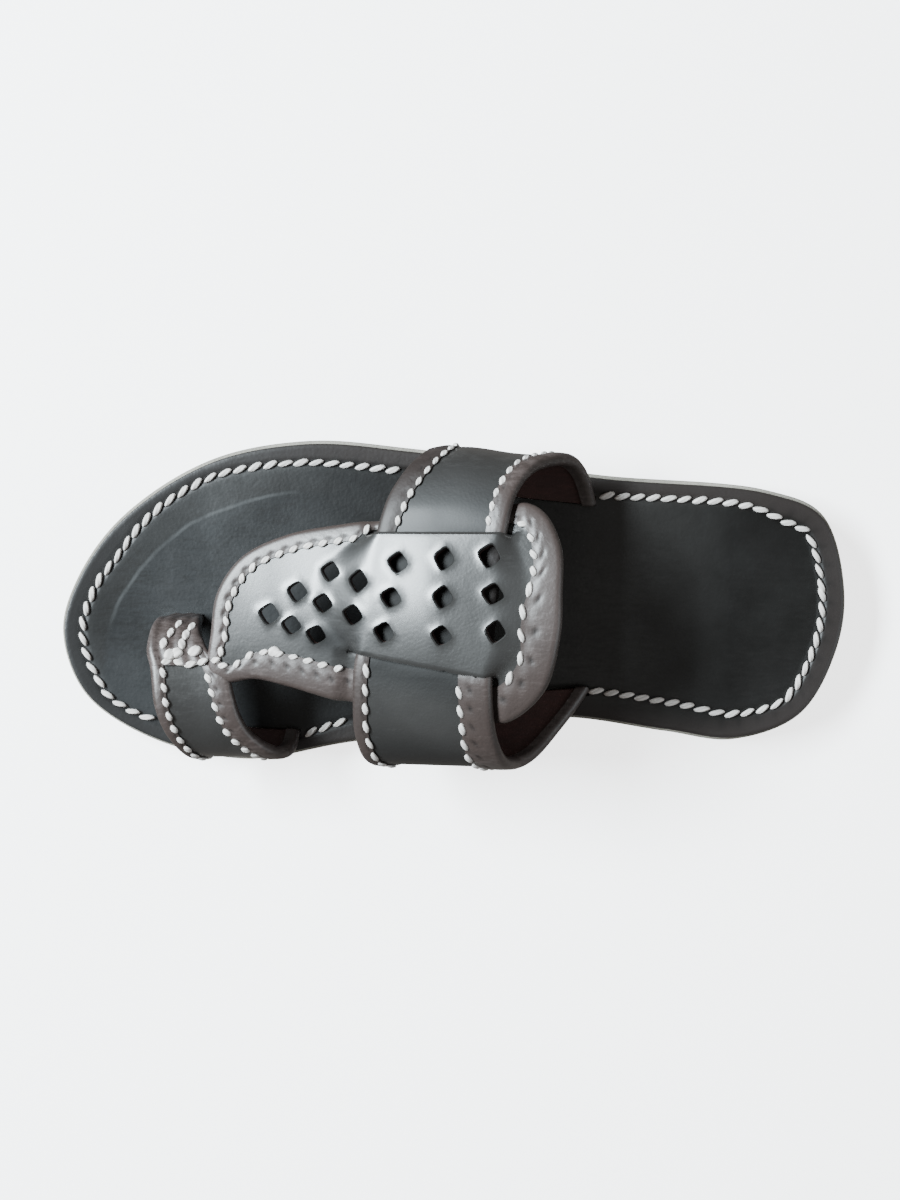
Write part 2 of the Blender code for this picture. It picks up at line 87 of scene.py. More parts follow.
# Crest of the upper's inner face above the insole
CREST_ROWS = table(
    "x height",
    (-105, 24), (-82, 26), (-60, 31), (-30, 40), (-5, 48), (20, 54), (50, 57))

# An arch's section: steps 0 to 1 rise from the lateral slit to the bulge, 1 to 3 cross
# over the crest to the medial bulge, and 3 to 4 go down into the medial slit
Arch = namedtuple("Arch", "lateral_bulge middle medial_bulge bulge_share")
INSTEP = Arch(lateral_bulge=48.0, middle=-2.0, medial_bulge=-51.0, bulge_share=0.43)
BIG_TOE = Arch(lateral_bulge=-7.5, middle=-28.0, medial_bulge=-49.5, bulge_share=0.45)
TOE_LOOP_CREST = 27.0
FOOT_RISE = 2.4

# A slit in the insole, from toe end to heel end; side is 1 where outwards is to +Y
Slit = namedtuple("Slit", "toe_x toe_y heel_x heel_y side")
INSTEP_LATERAL_SLIT = Slit(-10, 39.5, 48, 33.5, 1)
INSTEP_MEDIAL_SLIT = Slit(-22, -35.5, 46, -29.5, -1)
TAB_SLIT = Slit(-98, -7.5, -87, -7.5, 1)
TOE_LOOP_SLIT = Slit(-86, -43.2, -54, -44.8, -1)

# How wide a slit is, how much longer than its strap, how far outwards of it its middle is,
# and the height of its punch and that of the punch's middle above the insole
SLIT_OPENING = 3.3
SLIT_SLACK = 0.9
SLIT_OUTWARDS = 1.4
PUNCH_HEIGHT = 16
PUNCH_MIDDLE = -1.5

# Where each strap's toe-side and heel-side edges run at each step of its arch, and the
# width of the binding on either side
STRAP_COLUMNS = "step toe_x heel_x toe_binding heel_binding"
INSTEP_ROWS = table(
    STRAP_COLUMNS,
    (0, -10, 48, 6.5, 6), (0.5, -8.5, 43.5, 8.5, 6), (1, -9, 36.5, 10, 6),
    (1.15, -11, 31, 9.8, 6), (1.3, -15, 25, 9, 6), (1.5, -21.5, 18.5, 7.4, 5.8),
    (1.75, -26.5, 15, 5.4, 6.5), (2, -29, 12.8, 4.8, 8.5), (2.25, -32.5, 11.6, 4.6, 10),
    (2.45, -32.8, 12.5, 4.6, 10), (2.65, -31, 15.4, 4.8, 11), (2.8, -28.6, 18.3, 5, 10.5),
    (3, -25.5, 22, 5.5, 9.5), (3.3, -24, 28, 6, 8), (3.6, -23, 34.5, 6, 7),
    (4, -22, 46, 6, 6))
TOE_LOOP_ROWS = table(
    STRAP_COLUMNS,
    (0, -98, -87, 4, 4), (0.7, -99.5, -86.5, 4, 4), (1.3, -102, -85.5, 4, 5),
    (1.55, -102.5, -83, 4, 6), (1.75, -101, -77, 4, 7), (1.9, -100.4, -74.8, 4, 7),
    (2.05, -100, -73.6, 4, 7), (2.2, -99, -72.2, 4, 7), (2.4, -96.8, -69.2, 4, 7),
    (2.6, -93.8, -64.5, 4, 7), (2.8, -91, -60, 4, 7), (3, -88.5, -57, 4, 7),
    (3.4, -87, -55, 4, 6), (4, -86, -54, 4, 6))

# Columns along a strap and rows across it
STRAP_GRID = (132, 34)

# How far the instep strap swells out at its lateral bulge, where, and over what length
Swell = namedtuple("Swell", "height x length step steps")
INSTEP_SWELL = Swell(height=2.8, x=3.0, length=14.0, step=1.0, steps=0.42)

# The tab: the steps of the toe loop that it covers, and its outer and inner level
TAB_GRID = (70, 64)
TAB_ENDS = (-0.6, 1.74)
TAB_TOP = 3.15
TAB_UNDER = -0.25
TAB_LEATHER = 0.7
TAB_WRINKLE = 0.22

# The leaf's outline, anticlockwise from its heel tip past its toe tip
LEAF_OUTLINE = table(
    "x y",
    (33.5, 6), (33, 22.5), (25.5, 33.3), (-6, 30.8), (-36, 27.3), (-55, 23.7), (-69.8, 16.6),
    (-78.2, 5), (-80.3, -8), (-81, -20.5), (-76, -24), (-66, -22.8), (-55, -25),
    (-36, -29.7), (-3, -34.3), (16, -34.5), (28, -24.2), (33, -6))
LEAF_TOE_TIP = 8
LEAF_SPINE = (PlanPoint(-62, -1), PlanPoint(12, 3))

# The leaf's mesh: the side of its triangles, the corner and size of the rectangle that its
# points fill, how far the free ones keep from the others, and how far from each slot and
# diamond there are further rows of points
LEAF_MESH = 1.35
EQUILATERAL = 0.866
LEAF_CORNER = PlanPoint(-84, -40)
LEAF_REACH = PlanPoint(120, 80)
LEAF_CLEARANCE = 0.75
SLOT_FENCES = (0.45, 0.9, 1.7)
DIAMOND_FENCES = (0.35, 0.95)

# The leaf's toe corner, which is lifted to the toe loop that it is sewn to
TOE_CORNER = PlanPoint(-80, -20)
TOE_CORNER_LIFT = 1.3
TOE_CORNER_REACH = 12.0

# Width of the leaf's binding on its lateral and on its medial side
BORDER_ROWS = table(
    "x lateral medial",
    (-80, 5.4, 5.4), (-72, 5.4, 7.2), (-62, 5.4, 9.6), (-50, 5.4, 10.6), (-36, 5.4, 11),
    (14, 5.4, 12), (22, 6.5, 12.3), (30, 9, 12.3), (34, 10, 12.3))

# The leaf's slots and how their edges are worn, how far a cut changes the leaf about it,
# and the bridge between the slots, which the strap lifts
SLOT_LATERAL_Y = 24.5
SLOT_LATERAL_ENDS = (-28.0, 18.5)
SLOT_MEDIAL_TOE = PlanPoint(-28, -13.5)
SLOT_MEDIAL_HEEL = PlanPoint(12, -19.5)
SLOT_MEDIAL_ENDS = (-34.0, 13.5)
SLOT_OPENING = 1.6
SLOT_PARTS = 44
SLOT_WEAR_LATERAL = 0.8
SLOT_WEAR_MEDIAL = 0.45
SLOT_WEAR_REACH = 1.1
SLOT_CLEARANCE = 0.4
CUT_REACH = 2.0
BRIDGE_ENDS = (-47.0, 25.0)
BRIDGE_MIDDLE_Y = 5.0
BRIDGE_LIFT = 3.5
BRIDGE_HEEL_LIFT = 1.7

# Lengths of the bridge's ramps beside its slots and at its crown
BRIDGE_TOE_RAMPS = (5.0, 22.0)
BRIDGE_HEEL_RAMPS = (4.0, 12.0)

# How deep the strap presses the leaf's border down, and where that and the narrower
# binding beside the lateral slot begin, are full, still are full and end
BORDER_SAG = 1.7
LATERAL_SAG_SPAN = (-31, -25, 18, 23)
MEDIAL_SAG_SPAN = (-40, -34, 12, 17)
NARROW_SPAN = (-33, -27, 17.5, 21)
NARROWEST_BINDING = 2.6

# Painted shade in the hollows at the toe end of the bridge, where the leaf also loses its polish
HOLLOWS = table(
    "x y length width dullness",
    (-40.0, -9.5, 9.5, 6.0, 0.95), (-35.0, 20.5, 6.0, 3.5, 0.5))

# How far the instep strap stands off its arch, over what lengths it dives and climbs, and
# the steps where it begins to lie on the leaf, lies there, still lies there and leaves it
STRAP_UNDER_BRIDGE = -0.4
STRAP_UNDER_HEEL_END = -2.2
STRAP_IN_LATERAL_SLOT = 1.2
STRAP_IN_MEDIAL_SLOT = 2.1
STRAP_OVER_BORDER = 2.5
DIVE_LENGTH = 6.0
CLIMB_LENGTH = 9.0
ON_LEAF_STEPS = (1.05, 1.4, 2.6, 2.95)

# Rows of punched diamonds: the first one's place, their number and the step between them
DIAMOND_ROWS = table(
    "x y count step_x step_y",
    (-60.5, -1.5, 1, 0, 0), (-51, 6, 2, -2, -11), (-39.8, 12.5, 3, -2.4, -10.2),
    (-29.7, 9.5, 2, -2, -10.4), (-16.6, 15.2, 3, -2.2, -10.6), (-2, 16.6, 3, -0.5, -11.5),
    (12, 17.6, 3, 0.8, -11.3))
DIAMOND_SIDE = 5.3
DIAMOND_TURN = radians(33)
DIAMOND_LIP = 0.24
DIAMOND_LIP_PLACE = 0.45
DIAMOND_LIP_WIDTH = 0.5
DIAMOND_WEAR = 0.34
DIAMOND_WEAR_REACH = 0.22

# Leather: the top of the lining and of the upper over it, the thickness of a binding and
# its top, and how far the cut edges are inside the bindings
LINING = 1.0
WALL = 2.6
BINDING = 0.8
BINDING_TOP = 3.0
BINDING_EDGE_RADIUS = 1.7
BINDING_UNDER = 2.6
BINDING_SINK = 0.28
BINDING_SWELL = 0.132
BINDING_ROWS = 24
BINDING_SHARE = 0.42
RAW_EDGE_INSET = 0.9
LINING_EDGE_INSET = 1.1

# The gathers of a binding: where across it a stitch pulls it in, how deep and how wide,
# how far that pit leans along it, and the height of the soft swellings between the pits
GATHER_PLACE = 0.56
GATHER_DEPTH = 0.36
GATHER_SPREAD = 0.11
GATHER_LENGTH = 0.72
GATHER_SLANT = 4.0
GATHER_SWELL = 0.07

# Lengths from stitch to stitch, the places of seams, and how far the insole's stitches are
# inside the sole's outline
INSOLE_PITCH = 5.3
UPPER_PITCH = 5.0
LEAF_LONG_PITCH = 7.1
STRAP_LONG_PITCH = 6.7
SEAM_FROM_BINDING = 0.35
SEAM_FROM_LATERAL_SLOT = 2.4
SEAM_FROM_MEDIAL_SLOT = 2.2
STITCH_LEVEL = BINDING_TOP + 0.35
INSOLE_STITCH_LEVEL = 0.12
ABOVE_ALL = 120
SEAM_ROWS = table(
    "x lateral medial",
    (-129, 7.2, 7.2), (-123, 8.2, 6.0), (-114, 7.0, 6.3), (-103, 5.9, 7.4), (-90, 5.7, 7.4),
    (-68, 6.8, 6.6), (-52, 7.4, 6.4), (-36, 8.1, 8.2), (0, 8.1, 9.5), (50, 6.9, 10.6),
    (70, 6.3, 10.7), (92, 6.2, 9.8), (106, 7.0, 8.9), (118, 9.0, 8.3), (127, 8.6, 8.6))

# The straps' seams: the steps of the strap where each one starts and ends, and the seed of
# its stitches' small differences
STRAP_SEAM_PARTS = 240
STRAP_SEAMS = table(
    "strap side start end seed",
    ("instep", "toe", 0.35, 3.7, 11), ("instep", "heel", 0.35, 3.7, 12),
    ("toe_loop", "toe", 1.74, 3.6, 13), ("toe_loop", "heel", 1.80, 3.6, 14))

# Where along the shoe straps hide the insole's stitches, and the leaf's, on either side of
# a middle line
Hidden = namedtuple("Hidden", "middle_y lateral medial")
HIDDEN_ON_INSOLE = Hidden(0, lateral=((-20.5, 51.5),), medial=((-102.5, -53.5), (-35.5, 48)))
HIDDEN_ON_LEAF = Hidden(10, lateral=((-22, 18),), medial=((-34, 13.5),))

# Where the stitches' ends are, in the seam over the toe loop's end and in the two rows
# down the tab
TAB_SEAMS = (
    ((-97.6, -18.2), (-93.3, -17), (-89.8, -19.2), (-85.7, -18.1), (-81.5, -17.3), (-77.6, -16.9)),
    ((-91.8, -5.2), (-93.5, -7.0), (-96.4, -10.4), (-97.4, -13.4)),
    ((-87.3, -5.8), (-89.0, -8.0), (-90.6, -10.8), (-91.2, -13.6)))
TAB_STITCH_LEVEL = 0.3
KNOTS = table(
    "x y turn",
    (-59.6, -13.9, 0.2), (-94.6, -15.4, 0.1), (-92.6, -15.0, -0.1), (-86.4, -14.4, 0.1))


# Curves and tables

def hermite(t, start, leave, end, arrive):
    """Value of a cubic at a share t of its span, from its ends and its slopes there."""
    return ((2 * t**3 - 3 * t**2 + 1) * start + (t**3 - 2 * t**2 + t) * leave
            + (3 * t**2 - 2 * t**3) * end + (t**3 - t**2) * arrive)


def row_value(rows, column, x):
    """Smooth value of a table's column at x, which never swings past its rows."""
    stations = [row[0] for row in rows]
    values = [getattr(row, column) for row in rows]
    if x <= stations[0]:
        return values[0]
    if x >= stations[-1]:
        return values[-1]
    slopes = [(values[i + 1] - values[i]) / (stations[i + 1] - stations[i])
              for i in range(len(rows) - 1)]

    def tangent(i):
        if i in (0, len(rows) - 1):
            return slopes[0] if i == 0 else slopes[-1]
        before, after = slopes[i - 1], slopes[i]
        return 0.0 if before * after <= 0 else 2 * before * after / (before + after)

    i = max(k for k in range(len(rows) - 1) if stations[k] <= x)
    span = stations[i + 1] - stations[i]
    return hermite((x - stations[i]) / span, values[i], span * tangent(i),
                   values[i + 1], span * tangent(i + 1))


def closed_curve(points, steps):
    """Points along a smooth closed curve through the given ones."""
    corners = [Vector(point) for point in points]
    count = len(corners)
    path = []
    for i in range(count):
        a, b, c, d = (corners[(i + k) % count] for k in (-1, 0, 1, 2))
        ab, bc, cd = (sqrt((q - p).length) for p, q in ((a, b), (b, c), (c, d)))
        leave = (c - b) + bc * ((b - a) / ab - (c - a) / (ab + bc))
        arrive = (c - b) + bc * ((d - c) / cd - (d - b) / (bc + cd))
        path += [hermite(k / steps, b, leave, c, arrive) for k in range(steps)]
    return path


def running_count(path, pitch_at=lambda point: 1.0):
    """Length of a path up to each of its points, in pitches or else in millimetres."""
    counts = [0.0]
    for a, b in zip(path, path[1:]):
        counts.append(counts[-1] + (b - a).length / pitch_at(b))
    return counts


def even_points(path, count):
    """Points evenly spaced along an open path, both its ends among them."""
    reach = running_count(path)
    points, i = [], 0
    for k in range(count):
        wanted = reach[-1] * k / (count - 1)
        while i < len(path) - 2 and reach[i + 1] < wanted:
            i += 1
        points.append(path[i].lerp(path[i + 1], (wanted - reach[i]) / (reach[i + 1] - reach[i])))
    return points


def smooth_step(value, start, end):
    """0 before start, 1 after end, and a smooth rise between."""
    t = min(1.0, max(0.0, (value - start) / (end - start)))
    return t * t * (3 - 2 * t)


def window(value, start, rise, fall, end):
    """0 before start and after end, and 1 between rise and fall."""
    return smooth_step(value, start, rise) * (1 - smooth_step(value, fall, end))


def blend(a, b, share):
    return a + (b - a) * share


def bell(value, width):
    return exp(-(value / width) ** 2)


class Rim:
    """An outline with as many points on its lateral as on its medial side, and its spine."""

    def __init__(self, outline, smoothing, toe_tip, spine_ends, side_points, centred=False):
        path = closed_curve(outline, smoothing)
        if centred:
            middle = Vector([(min(p[axis] for p in path) + max(p[axis] for p in path)) / 2
                             for axis in (0, 1)])
            path = [point - middle for point in path]
        toe = toe_tip * smoothing
        lateral = even_points(path[:toe + 1], side_points)
        medial = even_points(path[toe:] + path[:1], side_points)
        self.points = lateral + medial[1:-1]
        spine = []
        start, end = Vector(spine_ends[0]), Vector(spine_ends[1])
        for a, b in zip(lateral, reversed(medial)):
            along = ((a.x + b.x) / 2 - start.x) / (end.x - start.x)
            spine.append(start.lerp(end, min(1, max(0, along))))
        self.spine = spine + spine[-2:0:-1]

    def __len__(self):
        return len(self.points)

    def inwards(self, i):
        """Inward normal of the outline at a point."""
        count = len(self.points)
        along = (self.points[(i + 1) % count] - self.points[(i - 1) % count]).normalized()
        return Vector((-along.y, along.x))

    def towards_spine(self, i, width):
        """The point a width inside the outline, on the way to the spine."""
        i %= len(self.points)
        way = (self.spine[i] - self.points[i]).normalized()
        squareness = max(0.7, self.inwards(i).dot(way))
        return self.points[i] + way * width / squareness


# The last: where the insole, the arches and the leaf lie

def insole_top(x):
    return row_value(SOLE_ROWS, "top", x)


def arch_point(arch, crest, lateral_base, medial_base, step):
    """Distance across and height above the insole of an arch's inner face at a step."""
    bulge_height = crest * arch.bulge_share
    if step < 1 or step > 3:
        base, bulge, share = ((lateral_base, arch.lateral_bulge, step) if step < 1
                              else (medial_base, arch.medial_bulge, 4 - step))
        across = base + (bulge - base) * (1 - (1 - share) ** 2)
        return across, FOOT_RISE + (bulge_height - FOOT_RISE) * share
    angle = (step - 1) * pi / 2
    bulge = arch.lateral_bulge if step < 2 else arch.medial_bulge
    across = arch.middle + abs(bulge - arch.middle) * cos(angle)
    return across, bulge_height + (crest - bulge_height) * sin(angle)


def leaf_height(x, y):
    """Height of the leaf's inner face, which is the top of the instep arch."""
    crest = row_value(CREST_ROWS, "height", x)
    bulge_height = crest * INSTEP.bulge_share
    bulge = INSTEP.lateral_bulge if y > INSTEP.middle else INSTEP.medial_bulge
    share = (y - INSTEP.middle) / (bulge - INSTEP.middle)
    return insole_top(x) + bulge_height + (crest - bulge_height) * sqrt(1 - share**2)


def leaf_normal(x, y):
    step = 0.5
    rise_x = (leaf_height(x + step, y) - leaf_height(x - step, y)) / (2 * step)
    rise_y = (leaf_height(x, y + step) - leaf_height(x, y - step)) / (2 * step)
    return Vector((-rise_x, -rise_y, 1)).normalized()


def medial_slot_y(x):
    share = (x - SLOT_MEDIAL_TOE.x) / (SLOT_MEDIAL_HEEL.x - SLOT_MEDIAL_TOE.x)
    return blend(SLOT_MEDIAL_TOE.y, SLOT_MEDIAL_HEEL.y, share)


def leaf_rise(x, y):
    """How far the strap pushes the bridge up or presses the border down, and how far the
    leaf's toe corner is lifted."""
    low, high = medial_slot_y(x), SLOT_LATERAL_Y
    from_corner = sqrt((x - TOE_CORNER.x) ** 2 + (y - TOE_CORNER.y) ** 2)
    corner = bell(from_corner, TOE_CORNER_REACH) * TOE_CORNER_LIFT
    if low < y < high:
        share = (y - low) / (high - low)
        crown = 1 - (2 * share - 1) ** 2
        toe, heel = (blend(blend(medial, lateral, share), bridge, crown) for medial, lateral, bridge
                     in zip(SLOT_MEDIAL_ENDS, SLOT_LATERAL_ENDS, BRIDGE_ENDS))
        toe_ramp, heel_ramp = blend(*BRIDGE_TOE_RAMPS, crown), blend(*BRIDGE_HEEL_RAMPS, crown)
        lift = blend(BRIDGE_LIFT, BRIDGE_HEEL_LIFT, crown * smooth_step(x, -8, 15))
        return corner + lift * window(x, toe, toe + toe_ramp, heel - heel_ramp, heel)
    if y >= high:
        return corner - BORDER_SAG * window(x, *LATERAL_SAG_SPAN) * smooth_step(y, high, high + 1)
    return corner - BORDER_SAG * window(x, *MEDIAL_SAG_SPAN) * smooth_step(low - y, 0, 1)


def leaf_point(x, y, level):
    """A point of the laid leaf, level millimetres off its inner face."""
    normal = leaf_normal(x, y)
    return Vector((x, y, leaf_height(x, y))) + normal * (level + leaf_rise(x, y))


def leaf_border(x, y):
    """Width of the leaf's binding where its edge passes a point."""
    return blend(row_value(BORDER_ROWS, "medial", x), row_value(BORDER_ROWS, "lateral", x),
                 smooth_step(y, -4, 16))


def instep_swell(x, step):
    """How far the instep strap stands out sideways."""
    return (INSTEP_SWELL.height * bell(x - INSTEP_SWELL.x, INSTEP_SWELL.length)
            * bell(step - INSTEP_SWELL.step, INSTEP_SWELL.steps))


def instep_level(x, y, step):
    """How far the instep strap stands off its arch, over the borders and under the bridge."""
    on_leaf = window(step, *ON_LEAF_STEPS)
    outside = max(y - SLOT_LATERAL_Y, medial_slot_y(x) - y)
    in_slot = STRAP_IN_LATERAL_SLOT if y > BRIDGE_MIDDLE_Y else STRAP_IN_MEDIAL_SLOT
    if outside > 0:
        climb = smooth_step(outside / CLIMB_LENGTH, -1.0, 1.0) * 2 - 1
        return on_leaf * blend(in_slot, STRAP_OVER_BORDER, climb)
    climb = smooth_step(-outside / DIVE_LENGTH, -1.0, 1.0) * 2 - 1
    low = blend(STRAP_UNDER_BRIDGE, STRAP_UNDER_HEEL_END, smooth_step(x, -6, 10))
    return on_leaf * blend(in_slot, low, climb)


class Strap:
    """A strap over an arch, addressed by its step, its share across and its level."""

    def __init__(self, arch, rows, slits, ends, crest_at, level_at, swell_at):
        self.arch = arch
        self.rows = rows
        self.slits = slits
        self.ends = ends
        self.crest_at = crest_at
        self.level_at = level_at
        self.swell_at = swell_at
        self.known_normals = {}

    def row_value(self, column, step):
        return row_value(self.rows, column, min(4.0, max(0.0, step)))

    def width(self, step):
        return self.row_value("heel_x", step) - self.row_value("toe_x", step)

    def inner(self, step, share):
        """A point of the strap's inner face; steps past 0 and 4 go down into the slits."""
        held = min(4.0, max(0.0, step))
        x = blend(self.row_value("toe_x", held), self.row_value("heel_x", held), share)
        bases = [blend(slit.toe_y, slit.heel_y, share) for slit in self.slits]
        across, height = arch_point(self.arch, self.crest_at(x), *bases, held)
        point = Vector((x, across, insole_top(x) + height))
        if 1 < held < 3:
            angle = (held - 1) * pi / 2
            point += Vector((0, cos(angle), sin(angle))) * self.level_at(x, across, held)
        point.y += self.swell_at(x, held)
        point.z -= abs(step - held) * (INSOLE_THICKNESS + FOOT_RISE)
        return point

    def normal(self, step, share):
        key = (round(step, 4), round(share, 3))
        if key not in self.known_normals:
            small = 0.012
            held = min(4 - small, max(small, step))
            along = self.inner(held + small, share) - self.inner(held - small, share)
            across = self.inner(held, share + small) - self.inner(held, share - small)
            self.known_normals[key] = along.cross(across).normalized()
        return self.known_normals[key]

    def place(self, step, share, level):
        return self.inner(step, share) + self.normal(step, share) * level

    def binding(self, step, heel_side):
        """Width of the binding, which takes less than half of a narrow strap."""
        column = "heel_binding" if heel_side else "toe_binding"
        return min(self.row_value(column, step), self.width(step) * BINDING_SHARE)

    def edge_share(self, step, heel_side, distance):
        """The share across that is a distance in from the toe-side or heel-side edge."""
        share = distance / self.width(step)
        return 1 - share if heel_side else share


instep_strap = Strap(
    INSTEP, INSTEP_ROWS, slits=(INSTEP_LATERAL_SLIT, INSTEP_MEDIAL_SLIT), ends=(-0.6, 4.6),
    crest_at=lambda x: row_value(CREST_ROWS, "height", x), level_at=instep_level,
    swell_at=instep_swell)
toe_loop = Strap(
    BIG_TOE, TOE_LOOP_ROWS, slits=(TAB_SLIT, TOE_LOOP_SLIT), ends=(1.6, 4.6),
    crest_at=lambda x: TOE_LOOP_CREST, level_at=lambda x, y, step: 0.0,
    swell_at=lambda x, step: 0.0)
STRAPS = {"instep": instep_strap, "toe_loop": toe_loop}
leaf_rim = Rim(LEAF_OUTLINE, smoothing=24, toe_tip=LEAF_TOE_TIP, spine_ends=LEAF_SPINE,
               side_points=221)
sole_rim = Rim(SOLE_OUTLINE, smoothing=40, toe_tip=SOLE_TOE_TIP, spine_ends=SOLE_SPINE,
               side_points=181, centred=True)


def seam_inset(i):
    """Distance of the insole's stitches from the outline's point i."""
    point = sole_rim.points[i % len(sole_rim)]
    return blend(row_value(SEAM_ROWS, "medial", point.x), row_value(SEAM_ROWS, "lateral", point.x),
                 smooth_step(point.y, -8, 8))


# Meshes by hand

def deselect():
    if bpy.context.object and bpy.context.object.mode != "OBJECT":
        bpy.ops.object.mode_set(mode="OBJECT")
    bpy.ops.object.select_all(action="DESELECT")


def use(obj):
    deselect()
    obj.select_set(True)
    bpy.context.view_layer.objects.active = obj


def set_all(thing, settings):
    for name, value in settings.items():
        setattr(thing, name, value)


def apply_modifier(obj, kind, **settings):
    use(obj)
    bpy.ops.object.modifier_add(type=kind)
    modifier = obj.modifiers[-1]
    set_all(modifier, settings)
    bpy.ops.object.modifier_apply(modifier=modifier.name)


def edit_all(obj, *operators):
    """Run edit-mode operators on the whole of one object."""
    use(obj)
    bpy.ops.object.mode_set(mode="EDIT")
    for operator, settings in operators:
        bpy.ops.mesh.select_all(action="SELECT")
        operator(**settings)
    bpy.ops.object.mode_set(mode="OBJECT")


def tone_points(obj, tones):
    """Keep a number for each of a piece's points, which its finish reads as a tone: painted shade
    and lost polish on the upper, the browner border on the insole.
    """
    layer = obj.data.attributes.new("pucker", "FLOAT", "POINT")
    layer.data.foreach_set("value", tones)


def cut_sheet(name, columns, rows, place, closed=False, tone=None):
    """A flat sheet of leather with a grid of points, each then laid in its place.

    place and tone take the point's column and row, as shares of the sheet.
    """
    deselect()
    bpy.ops.mesh.primitive_grid_add(x_subdivisions=columns, y_subdivisions=rows, size=1)
    sheet = bpy.context.object
    sheet.name = name
    sheet.data.name = name
    spots = [(vertex.co.x + 0.5, vertex.co.y + 0.5) for vertex in sheet.data.vertices]
    if tone:
        tone_points(sheet, [tone(u, v) for u, v in spots])
    for vertex, (u, v) in zip(sheet.data.vertices, spots):
        vertex.co = place(u, v) * MM
    if closed:
        edit_all(sheet, (bpy.ops.mesh.remove_doubles, {"threshold": 0.02 * MM}))
    return sheet


def thicken(obj, thickness, offset=1.0):
    apply_modifier(obj, "SOLIDIFY", thickness=thickness * MM, offset=offset,
                   use_even_offset=True)


def finish_piece(obj, finish, slot, node, smooth=40):
    """Give a piece its finish, its shading and its place in the frame."""
    obj.data.materials.clear()
    obj.data.materials.append(bpy.data.materials[finish])
    use(obj)
    bpy.ops.object.shade_smooth_by_angle(angle=radians(smooth))
    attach(obj, "root")
    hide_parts(node)


def ring_body(name, rim, section):
    """A closed body in rings of an outline: each ring has an inset, which may change
    along the outline, a share of the way to the spine and a height along the shoe."""
    last = len(section) - 1

    def place(u, v):
        i = round(u * len(rim)) % len(rim)
        inset, share, height = section[round(v * last)]
        point = rim.points[i] + rim.inwards(i) * (inset(i) if callable(inset) else inset)
        point = point.lerp(rim.spine[i], share)
        return Vector((point.x, point.y, height(point.x)))

    return cut_sheet(name, len(rim), last, place, closed=True)


# Leather edges

def fold(row, width):
    """A folded binding's distance in from the edge, its level and the share of its top
    that is behind it, at a share of the strip's width."""
    top_run = width - BINDING_EDGE_RADIUS
    round_run = pi * BINDING_EDGE_RADIUS
    travel = row * (BINDING_UNDER + round_run + top_run)
    middle = BINDING_TOP - BINDING_EDGE_RADIUS
    if travel < BINDING_UNDER:
        return BINDING_EDGE_RADIUS + BINDING_UNDER - travel, middle - BINDING_EDGE_RADIUS, 0.0
    travel -= BINDING_UNDER
    if travel < round_run:
        angle = travel / BINDING_EDGE_RADIUS
        return (BINDING_EDGE_RADIUS * (1 - sin(angle)),
                middle - BINDING_EDGE_RADIUS * cos(angle), 0.0)
    share = (travel - round_run) / top_run
    sink = (BINDING_SINK * smooth_step(share, 0.55, 1.0)
            - BINDING_SWELL * sin(pi * min(1, share * 1.3)))
    return BINDING_EDGE_RADIUS + top_run * share, BINDING_TOP - sink, share


def pucker(travel, share):
    """How deep the stitches pull the binding in: a pit beside the gap of two stitches, which the
    binding's finish also darkens as painted shade.
    """
    if share <= 0:
        return 0.0
    across = share - GATHER_PLACE
    beat = (travel + GATHER_SLANT * across) / UPPER_PITCH
    gap = abs(beat - round(beat)) * UPPER_PITCH
    return bell(gap, GATHER_LENGTH) * bell(across, GATHER_SPREAD)


def gather(travel, share):
    """Level added by the gathers: pits, and soft swellings between them."""
    if share <= 0:
        return 0.0
    swell = GATHER_SWELL * cos(2 * pi * travel / UPPER_PITCH) * bell(share - 0.62, 0.2)
    return -GATHER_DEPTH * pucker(travel, share) - swell


# Surfaces' finishes

# The insole's tones: painted sheen towards the toe, painted light in the leaf's shadow about its
# heel end, outside the pale ring, and on its border at the toe
INSOLE_TOE_SHEEN = (0.0235, 0.0245, 0.0255)
INSOLE_SHADOW_FILL = (0.0320, 0.0305, 0.0290)
OUTSIDE_RING = (0.0165, 0.0150, 0.0135)
TOE_BORDER = (0.0180, 0.0172, 0.0172)

# The pale ring, in metres
RING_COLOUR = (0.050, 0.052, 0.053)
RING_MIDDLE = (-0.0553, -0.0290, 0.0)
RING_RADIUS = 0.0664


def add_node(tree, kind, inputs=None, **settings):
    """A shader node, each of its inputs linked to another node's output or given a value."""
    made = tree.nodes.new(kind)
    set_all(made, settings)
    for name, value in (inputs or {}).items():
        if isinstance(value, bpy.types.NodeSocket):
            tree.links.new(value, made.inputs[name])
        else:
            made.inputs[name].default_value = value
    return made


def mix_colour(tree, factor, a, b):
    return add_node(tree, "ShaderNodeMix", {0: factor, 6: a, 7: b}, data_type="RGBA").outputs[2]


def scale_range(tree, value, low, high, new_low, new_high):
    return add_node(tree, "ShaderNodeMapRange", {
        "Value": value, "From Min": low, "From Max": high,
        "To Min": new_low, "To Max": new_high}).outputs[0]


def maths(tree, operation, a, b=0.0):
    return add_node(tree, "ShaderNodeMath", {0: a, 1: b}, operation=operation).outputs[0]


def vector_maths(tree, operation, a, b=(0.0, 0.0, 0.0)):
    return add_node(tree, "ShaderNodeVectorMath", {0: a, 1: b}, operation=operation).outputs


def noise(tree, vector, scale, **inputs):
    return add_node(tree, "ShaderNodeTexNoise", {
        "Vector": vector, "Scale": scale, **inputs}).outputs[0]


def shade(colour, share=1.0):
    """A colour at a share of its brightness, as a colour socket takes it."""
    return (*(channel * share for channel in colour), 1)


